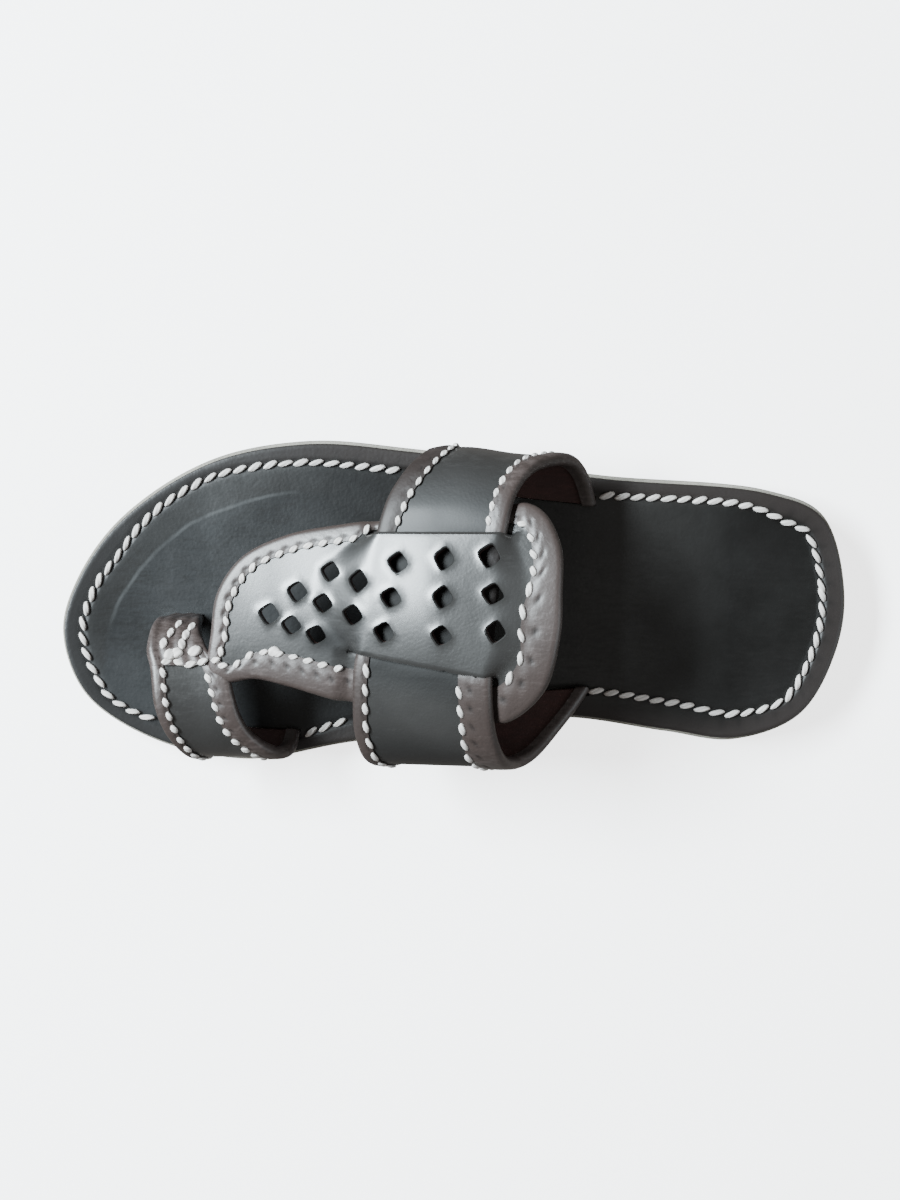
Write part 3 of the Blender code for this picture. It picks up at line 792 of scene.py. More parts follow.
def new_group(name, inputs, outputs):
    """An empty shader node group with named sockets, each a name and a socket type."""
    tree = bpy.data.node_groups.new(name, "ShaderNodeTree")
    for socket, kind in inputs:
        tree.interface.new_socket(socket, in_out="INPUT", socket_type=kind)
    for socket, kind in outputs:
        tree.interface.new_socket(socket, in_out="OUTPUT", socket_type=kind)
    return tree, tree.nodes.new("NodeGroupInput"), tree.nodes.new("NodeGroupOutput")


FLOAT, VECTOR = "NodeSocketFloat", "NodeSocketVector"


def grain_group():
    """Leather grain: pebbles with creases between them, and a broad uneven tone."""
    tree, given, out = new_group(
        "Leather grain", [("Vector", VECTOR), ("Pebble Scale", FLOAT), ("Crease Scale", FLOAT)],
        [("Height", FLOAT), ("Tone", FLOAT)])
    pebbles = add_node(tree, "ShaderNodeTexVoronoi", {
        "Vector": given.outputs["Vector"], "Scale": given.outputs["Pebble Scale"],
        "Randomness": 1.0}, feature="SMOOTH_F1")
    creases = noise(tree, given.outputs["Vector"], given.outputs["Crease Scale"],
                    Detail=5.0, Roughness=0.62, Distortion=0.8)
    broad = noise(tree, given.outputs["Vector"], 38.0, Detail=4.0, Roughness=0.6)
    pebble_height = scale_range(tree, pebbles.outputs["Distance"], 0.0, 0.9, 0.5, 0.0)
    tree.links.new(maths(tree, "ADD", pebble_height, creases), out.inputs["Height"])
    tree.links.new(scale_range(tree, broad, 0.3, 0.7, 0.0, 1.0), out.inputs["Tone"])


def scuff_group():
    """Rubbed patches and fine scratches, as a mask."""
    tree, given, out = new_group("Scuffs", [("Vector", VECTOR), ("Amount", FLOAT)],
                                 [("Mask", FLOAT)])
    stretched = vector_maths(tree, "MULTIPLY", given.outputs["Vector"], (1.0, 3.5, 1.0))[0]
    scratches = noise(tree, stretched, 210.0, Detail=6.0, Roughness=0.7)
    patches = noise(tree, given.outputs["Vector"], 24.0, Detail=3.0)
    mask = scale_range(tree, maths(tree, "MULTIPLY", scratches, patches), 0.26, 0.42, 0.0, 1.0)
    tree.links.new(maths(tree, "MULTIPLY", mask, given.outputs["Amount"]), out.inputs["Mask"])


def place_group(tree, name, inputs):
    return add_node(tree, "ShaderNodeGroup", inputs, node_tree=bpy.data.node_groups[name]).outputs


def new_material(name):
    material = bpy.data.materials.new(name)
    material.use_nodes = True
    tree = material.node_tree
    shader = tree.nodes["Principled BSDF"]
    coordinates = tree.nodes.new("ShaderNodeTexCoord").outputs["Object"]
    return tree, shader, coordinates


def surface(tree, shader, colour, roughness, strength, depth, height):
    """Plug a colour, a roughness and a bump that is depth millimetres deep into a shader."""
    bump = add_node(tree, "ShaderNodeBump", {
        "Strength": strength, "Distance": depth * MM, "Height": height})
    for name, socket in (("Base Color", colour), ("Roughness", roughness),
                         ("Normal", bump.outputs[0])):
        tree.links.new(socket, shader.inputs[name])


def point_tone(tree):
    """The tone that a piece keeps at its points: painted shade on the upper, the border on the
    insole.
    """
    return add_node(tree, "ShaderNodeAttribute", attribute_name="pucker").outputs["Fac"]


def leather(name, colour, worn, roughness, pebble, crease, depth, scuffs, coat=None,
            coat_roughness=0.3):
    """A finished leather: grained, unevenly toned and scuffed. One with a coat of polish
    is darkened with painted shade, and loses its coat and gloss, where its points' tone says."""
    tree, shader, coordinates = new_material(name)
    grain = place_group(tree, "Leather grain", {
        "Vector": coordinates, "Pebble Scale": pebble, "Crease Scale": crease})
    rubbed = place_group(tree, "Scuffs", {"Vector": coordinates, "Amount": scuffs})["Mask"]
    tint = mix_colour(tree, grain["Tone"], shade(colour, 0.72), shade(colour))
    tint = mix_colour(tree, rubbed, tint, shade(worn))
    rough = scale_range(tree, grain["Tone"], 0.0, 1.0, roughness - 0.05, roughness + 0.05)
    rough = maths(tree, "ADD", rough, maths(tree, "MULTIPLY", rubbed, 0.12))
    if coat:
        # Painted shade: the tint darkens where the points' tone says
        pit = point_tone(tree)
        tint = mix_colour(tree, maths(tree, "MULTIPLY", pit, 0.95), tint, shade(colour, 0.16))
        tree.links.new(scale_range(tree, pit, 0.0, 1.0, coat, 0.0), shader.inputs["Coat Weight"])
        rough = maths(tree, "ADD", rough, maths(tree, "MULTIPLY", pit, 0.28))
    shader.inputs["Coat Roughness"].default_value = coat_roughness
    shader.inputs["Specular IOR Level"].default_value = 0.3
    surface(tree, shader, tint, rough, strength=0.7, depth=depth, height=grain["Height"])


def insole_leather(colours):
    """Dark footbed leather, browner at its edges, with a pale ring, painted sheen towards the toe
    and painted light in the leaf's shadow about its heel end.
    """
    tree, shader, coordinates = new_material("Insole leather")
    grain = place_group(tree, "Leather grain", {
        "Vector": coordinates, "Pebble Scale": 900.0, "Crease Scale": 260.0})
    rubbed = place_group(tree, "Scuffs", {"Vector": coordinates, "Amount": 0.5})["Mask"]
    parts = add_node(tree, "ShaderNodeSeparateXYZ", {0: coordinates})

    def rise(start, end, low=0.0, high=1.0, axis="X"):
        """low before start and high after end, in metres along the insole or across it."""
        return scale_range(tree, parts.outputs[axis], start, end, low, high)

    def times(a, b):
        return maths(tree, "MULTIPLY", a, b)

    # Painted sheen: the insole is made lighter towards the toe
    tint = mix_colour(tree, rise(-0.085, -0.010, 1.0, 0.0), shade(colours.insole),
                      shade(INSOLE_TOE_SHEEN))
    # Painted light in the leaf's cast shadow about its heel end
    shadow_fill = times(rise(0.0, 0.025), rise(0.045, 0.095, 1.0, 0.0))
    tint = mix_colour(tree, shadow_fill, tint, shade(INSOLE_SHADOW_FILL))
    tint = mix_colour(tree, scale_range(tree, grain["Tone"], 0.0, 1.0, 0.3, 0.0), tint,
                      (0, 0, 0, 1))
    tint = mix_colour(tree, rubbed, tint, shade(colours.insole, 1.8))

    from_middle = vector_maths(tree, "SUBTRACT", coordinates, RING_MIDDLE)[0]
    flat = vector_maths(tree, "MULTIPLY", from_middle, (1.0, 1.0, 0.0))[0]
    wobble = noise(tree, coordinates, 40.0)
    radius = maths(tree, "ADD", vector_maths(tree, "LENGTH", flat)["Value"],
                   scale_range(tree, wobble, 0.0, 1.0, -0.0022, 0.0022))
    outside = times(scale_range(tree, radius, 0.0655, 0.0680, 0.0, 0.35),
                   rise(-0.060, -0.035, 1.0, 0.0))
    tint = mix_colour(tree, outside, tint, shade(OUTSIDE_RING))
    border = mix_colour(tree, rise(-0.100, -0.030, 1.0, 0.0), shade(colours.insole_edge),
                        shade(TOE_BORDER))
    tint = mix_colour(tree, point_tone(tree), tint, border)

    away = maths(tree, "ABSOLUTE", maths(tree, "SUBTRACT", radius, RING_RADIUS))
    ring = times(scale_range(tree, away, 0.0002, 0.0009, 1.0, 0.0),
                times(rise(-0.072, -0.052, 1.0, 0.0), rise(-0.012, 0.004, axis="Y")))
    patches = noise(tree, coordinates, 120.0, Detail=4.0)
    ring = times(ring, scale_range(tree, patches, 0.3, 0.6, 0.15, 0.8))
    tint = mix_colour(tree, ring, tint, shade(RING_COLOUR))
    rough = scale_range(tree, grain["Tone"], 0.0, 1.0, 0.35, 0.47)
    rough = maths(tree, "ADD", rough, times(ring, 0.15))
    shader.inputs["Specular IOR Level"].default_value = 0.38
    surface(tree, shader, tint, rough, strength=0.6, depth=0.12, height=grain["Height"])


def sole_rubber(colours):
    """Cellular rubber with a fine open texture, blotchy grime and darker pores."""
    tree, shader, coordinates = new_material("Sole rubber")
    pores = add_node(tree, "ShaderNodeTexVoronoi", {
        "Vector": coordinates, "Scale": 1500.0, "Randomness": 1.0}).outputs["Distance"]
    grime = noise(tree, coordinates, 55.0, Detail=6.0, Roughness=0.65)
    tint = mix_colour(tree, scale_range(tree, grime, 0.38, 0.72, 0.0, 1.0),
                      shade(colours.rubber), shade(colours.rubber, 0.6))
    # Darker in the pores
    tint = mix_colour(tree, scale_range(tree, pores, 0.0, 0.35, 0.7, 0.0), tint,
                      shade(colours.rubber, 0.45))
    rough = scale_range(tree, grime, 0.0, 1.0, 0.7, 0.9)
    surface(tree, shader, tint, rough, strength=0.5, depth=0.2, height=pores)


def waxed_thread(colours):
    """Off-white thread with the slanted plies of its twist."""
    tree, shader, coordinates = new_material("Waxed thread")
    plies = add_node(tree, "ShaderNodeTexWave", {
        "Vector": add_node(tree, "ShaderNodeUVMap").outputs[0], "Scale": 1.3,
        "Distortion": 0.6, "Detail": 1.0},
        wave_type="BANDS", bands_direction="DIAGONAL").outputs[1]
    grime = noise(tree, coordinates, 180.0, Detail=3.0)
    tint = mix_colour(tree, scale_range(tree, grime, 0.35, 0.75, 0.0, 0.6),
                      shade(colours.thread), shade(colours.thread, 0.62))
    # Painted shade in the grooves between the plies
    tint = mix_colour(tree, scale_range(tree, plies, 0.0, 0.5, 0.45, 0.0), tint,
                      shade(colours.thread, 0.55))
    rough = scale_range(tree, grime, 0.0, 1.0, 0.55, 0.8)
    surface(tree, shader, tint, rough, strength=0.8, depth=0.25, height=plies)


def floor_finish(colours):
    """A pale floor that glows, so that it stays even."""
    tree, shader, coordinates = new_material("Pale floor")
    cloud = noise(tree, coordinates, 3.0)
    tint = mix_colour(tree, cloud, shade(colours.floor, 0.985), shade(colours.floor))
    for name in ("Base Color", "Emission Color"):
        tree.links.new(tint, shader.inputs[name])
    shader.inputs["Roughness"].default_value = 0.9
    shader.inputs["Emission Strength"].default_value = 3.0


# What a user may change

class SandalSizes(bpy.types.PropertyGroup):
    thread_width: bpy.props.FloatProperty(
        name="Thread", description="Width of a stitch on the upper",
        default=1.9 * MM, unit="LENGTH")
    seam_width: bpy.props.FloatProperty(
        name="Insole thread", description="Width of a stitch on the insole",
        default=2.2 * MM, unit="LENGTH")


class SandalColours(bpy.types.PropertyGroup):
    upper: bpy.props.FloatVectorProperty(
        name="Upper", description="Colour of the polished strap leather",
        default=(0.024, 0.0232, 0.0225), subtype="COLOR")
    insole: bpy.props.FloatVectorProperty(
        name="Insole", description="Colour of the footbed", default=(0.0045, 0.0042, 0.0039),
        subtype="COLOR")
    insole_edge: bpy.props.FloatVectorProperty(
        name="Insole border", description="Colour of the footbed outside its stitches",
        default=(0.0195, 0.0160, 0.0150), subtype="COLOR")
    binding: bpy.props.FloatVectorProperty(
        name="Binding", description="Colour of the folded edges",
        default=(0.042, 0.0295, 0.0262), subtype="COLOR")
    lining: bpy.props.FloatVectorProperty(
        name="Lining", description="Colour of the lining", default=(0.062, 0.034, 0.031),
        subtype="COLOR")
    thread: bpy.props.FloatVectorProperty(
        name="Thread", description="Colour of the thread", default=(0.66, 0.62, 0.59),
        subtype="COLOR")
    rubber: bpy.props.FloatVectorProperty(
        name="Rubber", description="Colour of the sole's rubber", default=(0.30, 0.28, 0.24),
        subtype="COLOR")
    floor: bpy.props.FloatVectorProperty(
        name="Floor", description="Colour of the floor", default=(0.88, 0.88, 0.88),
        subtype="COLOR")


class SandalStage(bpy.types.PropertyGroup):
    camera_height: bpy.props.FloatProperty(
        name="Camera height", description="Height of the camera above the floor",
        default=0.660, unit="LENGTH")
    window_power: bpy.props.FloatProperty(
        name="Window light", description="Power of the large soft light in watts", default=100.0)
    fill_power: bpy.props.FloatProperty(
        name="Fill light", description="Power of the weaker light in watts", default=5.0)
    sky: bpy.props.FloatProperty(
        name="Surroundings", description="Strength of the even light all round", default=0.25)


# Pieces

class SANDAL_OT_finishes(bpy.types.Operator):
    """Mix the leathers, the thread and the rubber"""
    bl_idname = "sandal.finishes"
    bl_label = "Finishes"

    def execute(self, context):
        colours = context.scene.sandal_colours
        grain_group()
        scuff_group()
        leather("Strap leather", colours.upper, worn=(0.060, 0.058, 0.057), roughness=0.42,
                pebble=1100.0, crease=330.0, depth=0.10, scuffs=0.35, coat=1.0,
                coat_roughness=0.27)
        leather("Binding leather", colours.binding, worn=(0.085, 0.066, 0.062), roughness=0.42,
                pebble=1000.0, crease=420.0, depth=0.22, scuffs=0.8, coat=0.95,
                coat_roughness=0.46)
        leather("Lining leather", colours.lining, worn=(0.09, 0.04, 0.036), roughness=0.6,
                pebble=1500.0, crease=300.0, depth=0.12, scuffs=0.6)
        insole_leather(colours)
        sole_rubber(colours)
        waxed_thread(colours)
        floor_finish(colours)
        return {"FINISHED"}


class SANDAL_OT_outsole(bpy.types.Operator):
    """Mould the rubber outsole with its built-in heel"""
    bl_idname = "sandal.outsole"
    bl_label = "Outsole"

    def execute(self, context):
        def under(x):
            return row_value(SOLE_ROWS, "under", x)

        def top(x):
            return insole_top(x) - INSOLE_THICKNESS - 0.3

        section = [(10, 1, under), (10, 0.5, under), (10, 0, under), (4, 0, under),
                   (1.2, 0, under), (0.35, 0, lambda x: under(x) + 0.15),
                   (0, 0, lambda x: under(x) + 0.7)]
        for share in (0.2, 0.4, 0.6, 0.8):
            section.append((0, 0, lambda x, s=share: blend(under(x) + 0.7, top(x) - 0.6, s)))
        section += [(0, 0, lambda x: top(x) - 0.6), (0.3, 0, lambda x: top(x) - 0.12),
                    (0.9, 0, top), (6, 0, top), (10, 0.5, top), (10, 1, top)]
        sole = ring_body("outsole", sole_rim, section)
        finish_piece(sole, "Sole rubber", "outsole", "outsole")
        return {"FINISHED"}


class SANDAL_OT_insole(bpy.types.Operator):
    """Cut the insole, press its stitching groove and open its four slits"""
    bl_idname = "sandal.insole"
    bl_label = "Insole"

    def execute(self, context):
        def under(x):
            return insole_top(x) - INSOLE_THICKNESS

        def at(level):
            return lambda x: insole_top(x) + level

        def beside_seam(offset):
            return lambda i: seam_inset(i) + offset

        edge = INSOLE_INSET
        section = [(edge + 9, 1, under), (edge + 9, 0.5, under), (edge + 9, 0, under),
                   (edge + 0.5, 0, under), (edge, 0, lambda x: under(x) + 0.5),
                   (edge - 0.08, 0, lambda x: under(x) + 1.7), (edge, 0, at(-0.75)),
                   (edge + 0.2, 0, at(-0.28)), (edge + 0.75, 0, at(-0.03)), (edge + 1.6, 0, at(0))]
        section += [(beside_seam(offset), 0, at(level)) for offset, level in (
            (-2.7, 0), (-1.9, -0.02), (-1.3, -0.2), (-0.7, -0.55), (0, -0.62), (0.7, -0.5),
            (1.4, -0.15), (2.2, -0.02), (3.6, 0), (6.0, 0))]
        section += [(beside_seam(6.0), share, at(0))
                    for share in (0.12, 0.25, 0.4, 0.55, 0.7, 0.85, 1.0)]
        insole = ring_body("insole", sole_rim, section)
        tone_points(insole, [self.border(vertex.co / MM) for vertex in insole.data.vertices])
        for slit in (INSTEP_LATERAL_SLIT, INSTEP_MEDIAL_SLIT, TAB_SLIT, TOE_LOOP_SLIT):
            self.open_slit(insole, slit)
        finish_piece(insole, "Insole leather", "insole", "insole")
        return {"FINISHED"}

    def border(self, point):
        """1 on the browner border outside the stitches, 0 on the footbed."""
        nearest = min((point.xy - other).length for other in sole_rim.points[::4])
        return 1 - smooth_step(nearest, 5.0, 9.0)

    def open_slit(self, insole, slit):
        along = Vector((slit.heel_x - slit.toe_x, slit.heel_y - slit.toe_y, 0))
        outwards = Vector((-along.y, along.x, 0)).normalized() * slit.side
        centre = Vector(((slit.toe_x + slit.heel_x) / 2, (slit.toe_y + slit.heel_y) / 2, 0))
        centre += outwards * SLIT_OUTWARDS
        centre.z = insole_top(centre.x) + PUNCH_MIDDLE
        turn = Vector((1, 0, 0)).rotation_difference(along.normalized()).to_euler()
        deselect()
        bpy.ops.mesh.primitive_cube_add(
            size=1, location=centre * MM, rotation=turn,
            scale=Vector((along.length + SLIT_SLACK, SLIT_OPENING, PUNCH_HEIGHT)) * MM)
        punch = bpy.context.object
        apply_modifier(insole, "BOOLEAN", operation="DIFFERENCE", solver="EXACT", object=punch)
        bpy.data.objects.remove(punch)


def hollow_shade(x, y):
    """How much painted shade the leaf gets in the two hollows at the toe end of its bridge, where
    it also loses its polish.
    """
    return max(hollow.dullness * bell(sqrt(((x - hollow.x) / hollow.length) ** 2
                                           + ((y - hollow.y) / hollow.width) ** 2), 1.0)
               for hollow in HOLLOWS)


class SANDAL_OT_leaf(bpy.types.Operator):
    """Cut the leaf with its slots and diamonds, and lay it and its lining over the last"""
    bl_idname = "sandal.leaf"
    bl_label = "Leaf"

    def execute(self, context):
        slots, diamonds = self.slots(), self.diamonds()
        for name, low, high, rim_inset, finish, slot in (
                ("leaf_panel", LINING, WALL, RAW_EDGE_INSET, "Strap leather", "upper"),
                ("leaf_lining", 0.0, LINING, LINING_EDGE_INSET, "Lining leather", "lining")):
            outline = [leaf_rim.towards_spine(i, rim_inset) for i in range(0, len(leaf_rim), 2)]
            leaf = self.cut(name, outline, slots, diamonds)
            thicken(leaf, high - low)
            polished = slot == "upper"
            if polished:
                # Painted shade and lost polish in the hollows at the bridge's toe end
                tone_points(leaf, [hollow_shade(vertex.co.x / MM, vertex.co.y / MM)
                                   for vertex in leaf.data.vertices])
            for vertex in leaf.data.vertices:
                x, y, z = vertex.co / MM
                level = low + z
                if polished and z > 0.01:
                    level += self.lip(slots, slots + diamonds, x, y)
                vertex.co = leaf_point(x, y, level) * MM
            finish_piece(leaf, finish, slot, "upper", smooth=35)
        return {"FINISHED"}

    def slots(self):
        """Outlines of the two slots in the flat leaf."""
        loops = []
        for ends, line, side in ((SLOT_LATERAL_ENDS, lambda x: SLOT_LATERAL_Y, 1),
                                 (SLOT_MEDIAL_ENDS, medial_slot_y, -1)):
            start, end = ends
            xs = [blend(start, end, (1 - cos(pi * k / SLOT_PARTS)) / 2)
                  for k in range(SLOT_PARTS + 1)]
            near = [Vector((x, line(x))) for x in xs]
            far = [Vector((x, line(x) + side * SLOT_OPENING
                           * sqrt(sin(pi * (x - start) / (end - start)))))
                   for x in reversed(xs[1:-1])]
            loops.append(near + far)
        return loops

    def diamonds(self):
        """Outlines of the punched diamonds, each side in four parts, with blunted corners."""
        loops = []
        random = Random(5)
        for row in DIAMOND_ROWS:
            for k in range(row.count):
                centre = Vector((row.x + k * row.step_x, row.y + k * row.step_y))
                turn = DIAMOND_TURN + pi / 4 + radians(random.uniform(-3, 3))
                corners = [centre + Vector((cos(turn + i * pi / 2), sin(turn + i * pi / 2)))
                           * DIAMOND_SIDE / sqrt(2) * random.uniform(0.92, 1.08)
                           for i in range(4)]
                loop = [corners[i].lerp(corners[(i + 1) % 4], part / 4)
                        for i in range(4) for part in range(4)]
                for i in range(0, 16, 4):
                    loop[i] = loop[i].lerp((loop[i - 1] + loop[i + 1]) / 2, 0.5)
                loops.append(loop)
        return loops

    def distance(self, loop, point):
        """Distance from a point to a closed loop of points."""
        nearest = 1e9
        for a, b in zip(loop, loop[1:] + loop[:1]):
            side = b - a
            share = min(1, max(0, (point - a).dot(side) / side.length_squared))
            nearest = min(nearest, (a + side * share - point).length)
        return nearest

    def inside(self, loop, point):
        """Whether a point lies inside a closed loop."""
        crossings = False
        for a, b in zip(loop, loop[1:] + loop[:1]):
            if (a.y > point.y) != (b.y > point.y):
                if point.x < a.x + (point.y - a.y) * (b.x - a.x) / (b.y - a.y):
                    crossings = not crossings
        return crossings

    def nearby(self, holes, point, reach):
        return [loop for loop in holes
                if min(p.x for p in loop) - reach < point.x < max(p.x for p in loop) + reach
                and min(p.y for p in loop) - reach < point.y < max(p.y for p in loop) + reach]

    def gap_to(self, loops, point):
        """Distance to the nearest of some cuts, or much if none is near."""
        near = self.nearby(loops, point, CUT_REACH)
        return min((self.distance(loop, point) for loop in near), default=9.0)

    def lip(self, slots, holes, x, y):
        """The level beside a cut: a worn slope at the slots, a raised lip at the diamonds."""
        gap = self.gap_to(slots, Vector((x, y)))
        if gap < CUT_REACH:
            wear = SLOT_WEAR_LATERAL if y > 0 else SLOT_WEAR_MEDIAL
            return -wear * (1 - smooth_step(gap, 0.0, SLOT_WEAR_REACH))
        gap = self.gap_to(holes, Vector((x, y)))
        return (DIAMOND_LIP * bell(gap - DIAMOND_LIP_PLACE, DIAMOND_LIP_WIDTH)
                - DIAMOND_WEAR * bell(gap, DIAMOND_WEAR_REACH))

    def widened(self, loop, width):
        """A loop moved outwards from its middle."""
        middle = sum(loop, Vector((0, 0))) / len(loop)
        grown = []
        for i, point in enumerate(loop):
            along = loop[(i + 1) % len(loop)] - loop[i - 1]
            away = Vector((along.y, -along.x)).normalized()
            if away.dot(point - middle) < 0:
                away = -away
            grown.append(point + away * width)
        return grown

    def cut(self, name, outline, slots, diamonds):
        """The flat leaf as an even mesh of triangles that keeps every cut as an edge."""
        holes = slots + diamonds
        fences = [outline] + holes
        for loops, widths in ((slots, SLOT_FENCES), (diamonds, DIAMOND_FENCES)):
            fences += [self.widened(loop, width) for loop in loops for width in widths]
        points, edges = [], []
        for fence in fences:
            start = len(points)
            points += fence
            edges += [(start + i, start + (i + 1) % len(fence)) for i in range(len(fence))]

        def cell(point):
            return round(point.x / 2), round(point.y / 2)

        fixed = {}
        for point in points:
            fixed.setdefault(cell(point), []).append(point)
        for r in range(int(LEAF_REACH.y / (LEAF_MESH * EQUILATERAL))):
            for c in range(int(LEAF_REACH.x / LEAF_MESH)):
                point = Vector((LEAF_CORNER.x + LEAF_MESH * (c + 0.5 * (r % 2)),
                                LEAF_CORNER.y + LEAF_MESH * EQUILATERAL * r))
                i, j = cell(point)
                close = [other for near_i in (i - 1, i, i + 1) for near_j in (j - 1, j, j + 1)
                         for other in fixed.get((near_i, near_j), [])]
                if self.gap_to(slots, point) > CUT_REACH and all(
                        (point - other).length > LEAF_CLEARANCE for other in close):
                    points.append(point)
        vertices, _, faces, _, _, _ = delaunay_2d_cdt(points, edges, [], 0, 1e-5)
        kept = []
        for face in faces:
            middle = sum((vertices[i] for i in face), Vector((0, 0))) / len(face)
            if self.inside(outline, middle) and not any(
                    self.inside(loop, middle) for loop in self.nearby(holes, middle, 0.1)):
                kept.append(face)
        mesh = bpy.data.meshes.new(name)
        mesh.from_pydata([(v.x * MM, v.y * MM, 0) for v in vertices], [], kept)
        leaf = bpy.data.objects.new(name, mesh)
        bpy.context.scene.collection.objects.link(leaf)
        edit_all(leaf, (bpy.ops.mesh.delete_loose, {}),
                 (bpy.ops.mesh.normals_make_consistent, {}))
        if leaf.data.polygons[0].normal.z < 0:
            edit_all(leaf, (bpy.ops.mesh.flip_normals, {}))
        return leaf


def leaf_binding_width(i):
    """Width of the leaf's binding at its rim's point i, never across the lateral slot."""
    point = leaf_rim.points[i % len(leaf_rim)]
    width = leaf_border(point.x, point.y)
    if point.y < SLOT_LATERAL_Y:
        return width
    clear = point.y - SLOT_LATERAL_Y - SLOT_OPENING - SLOT_CLEARANCE
    return blend(width, min(width, max(NARROWEST_BINDING, clear)), window(point.x, *NARROW_SPAN))


def leaf_seam():
    """Places of the leaf's seam at its rim's points, and stitches counted up to each."""
    places = [leaf_rim.towards_spine(i, leaf_binding_width(i) - SEAM_FROM_BINDING)
              for i in range(len(leaf_rim) + 1)]
    beats = running_count(places, lambda point: blend(
        UPPER_PITCH, LEAF_LONG_PITCH, long_stitched(point.x, point.y)))
    whole = round(beats[-1]) / beats[-1]
    return places, [beat * whole for beat in beats]


def long_stitched(x, y):
    """1 at the leaf's medial heel, where its stitches are longer, and 0 elsewhere."""
    return smooth_step(x, 12, 16) * (1 - smooth_step(y, 8.0, 12.0))


def covered(x, y):
    """1 where the leaf's bridge covers the instep strap, and 0 beyond its slots."""
    if y < BRIDGE_MIDDLE_Y:
        return 1 - smooth_step(medial_slot_y(x) - y, 0.0, 1.5)
    return 1 - smooth_step(y - SLOT_LATERAL_Y, 0.0, 0.9)


def strap_shade(x, y):
    """How much painted shade the instep strap gets, and how much of its polish it loses: under the
    leaf's bridge and beside its slots, and low on its medial side, where the strap faces down.
    """
    if y < BRIDGE_MIDDLE_Y:
        outside = medial_slot_y(x) - y
        beside = 0.95 - 0.95 * smooth_step(outside, 4.0, 14.0)
        beside += 0.6 * smooth_step(outside, 20.0, 31.0)
    else:
        beside = 0.74 - 0.54 * smooth_step(y - SLOT_LATERAL_Y, 7.0, 20.0)
    return max(covered(x, y), beside)


class SANDAL_OT_straps(bpy.types.Operator):
    """Lay the instep strap and the toe loop, each with its lining"""
    bl_idname = "sandal.straps"
    bl_label = "Straps"

    def execute(self, context):
        self.lay(instep_strap, "instep_strap")
        self.lay(toe_loop, "toe_loop")
        return {"FINISHED"}

    def lay(self, strap, name):
        for piece, low, high, finish, slot in (
                (name, LINING, WALL, "Strap leather", "upper"),
                (name + "_lining", 0.0, LINING, "Lining leather", "lining")):

            def place(u, v):
                step = blend(*strap.ends, u)
                margin = RAW_EDGE_INSET / strap.width(step)
                return strap.place(step, blend(margin, 1 - margin, v), low)

            # Painted shade and lost polish on the instep strap
            def tone(u, v):
                point = place(u, v)
                return strap_shade(point.x, point.y) if strap is instep_strap else 0.0

            sheet = cut_sheet(piece, *STRAP_GRID, place, tone=tone)
            thicken(sheet, high - low)
            finish_piece(sheet, finish, slot, "upper")


class SANDAL_OT_bindings(bpy.types.Operator):
    """Fold strips of soft leather over the outer edges of the upper"""
    bl_idname = "sandal.bindings"
    bl_label = "Bindings"

    def execute(self, context):
        self.bind_leaf()
        for name, strap in STRAPS.items():
            for side in ("toe", "heel"):
                self.bind_strap(strap, f"{name}_binding_{side}", side == "heel")
        return {"FINISHED"}

    def bind_leaf(self):
        count = len(leaf_rim)
        _, beats = leaf_seam()

        def spot(u, v):
            i = round(u * count) % count
            distance, level, share = fold(v, leaf_binding_width(i))
            return i, distance, level, share

        def place(u, v):
            i, distance, level, share = spot(u, v)
            point = leaf_rim.towards_spine(i, distance)
            level += gather(beats[i] * UPPER_PITCH, share)
            return leaf_point(point.x, point.y, level)

        # Painted shade in the gathers' pits
        def tone(u, v):
            i, _, _, share = spot(u, v)
            return pucker(beats[i] * UPPER_PITCH, share)

        self.fold_over("leaf_binding", count, place, tone, closed=True)

    def bind_strap(self, strap, name, heel_side):
        columns = 2 * STRAP_GRID[0]
        travel = strap_travel(strap, heel_side, columns)

        def spot(u, v):
            if heel_side:
                u = 1 - u
            step = blend(*strap.ends, u)
            distance, level, share = fold(v, strap.binding(step, heel_side))
            return step, distance, level, share, travel[round(u * columns)]

        def place(u, v):
            step, distance, level, share, reach = spot(u, v)
            return strap.place(step, strap.edge_share(step, heel_side, distance),
                               level + gather(reach, share))

        def tone(u, v):
            _, _, _, share, reach = spot(u, v)
            pit = pucker(reach, share)
            if strap is not instep_strap:
                return pit
            point = place(u, v)
            # Painted shade on the instep strap's toe-side binding, more on its lateral side and
            # where the bridge covers it, which also loses its polish there
            toe_binding_shade = 0.0 if heel_side else 0.65 if point.y > BRIDGE_MIDDLE_Y else 0.3
            return max(pit, toe_binding_shade, covered(point.x, point.y))

        self.fold_over(name, columns, place, tone)

    def fold_over(self, name, columns, place, tone, closed=False):
        band = cut_sheet(name, columns, BINDING_ROWS, place, closed, tone)
        thicken(band, BINDING, offset=0)
        finish_piece(band, "Binding leather", "binding", "upper", smooth=60)


def strap_pitch(strap, point):
    """Length from stitch to stitch, which is more on the instep strap's medial side."""
    return STRAP_LONG_PITCH if strap is instep_strap and point.y < 0 else UPPER_PITCH


def strap_travel(strap, heel_side, columns):
    """Length along a strap's edge at each column, as if all its stitches were short."""
    path = []
    for k in range(columns + 1):
        step = blend(*strap.ends, k / columns)
        path.append(strap.place(step, strap.edge_share(step, heel_side, 3.0), WALL))
    return running_count(path, lambda point: strap_pitch(strap, point) / UPPER_PITCH)


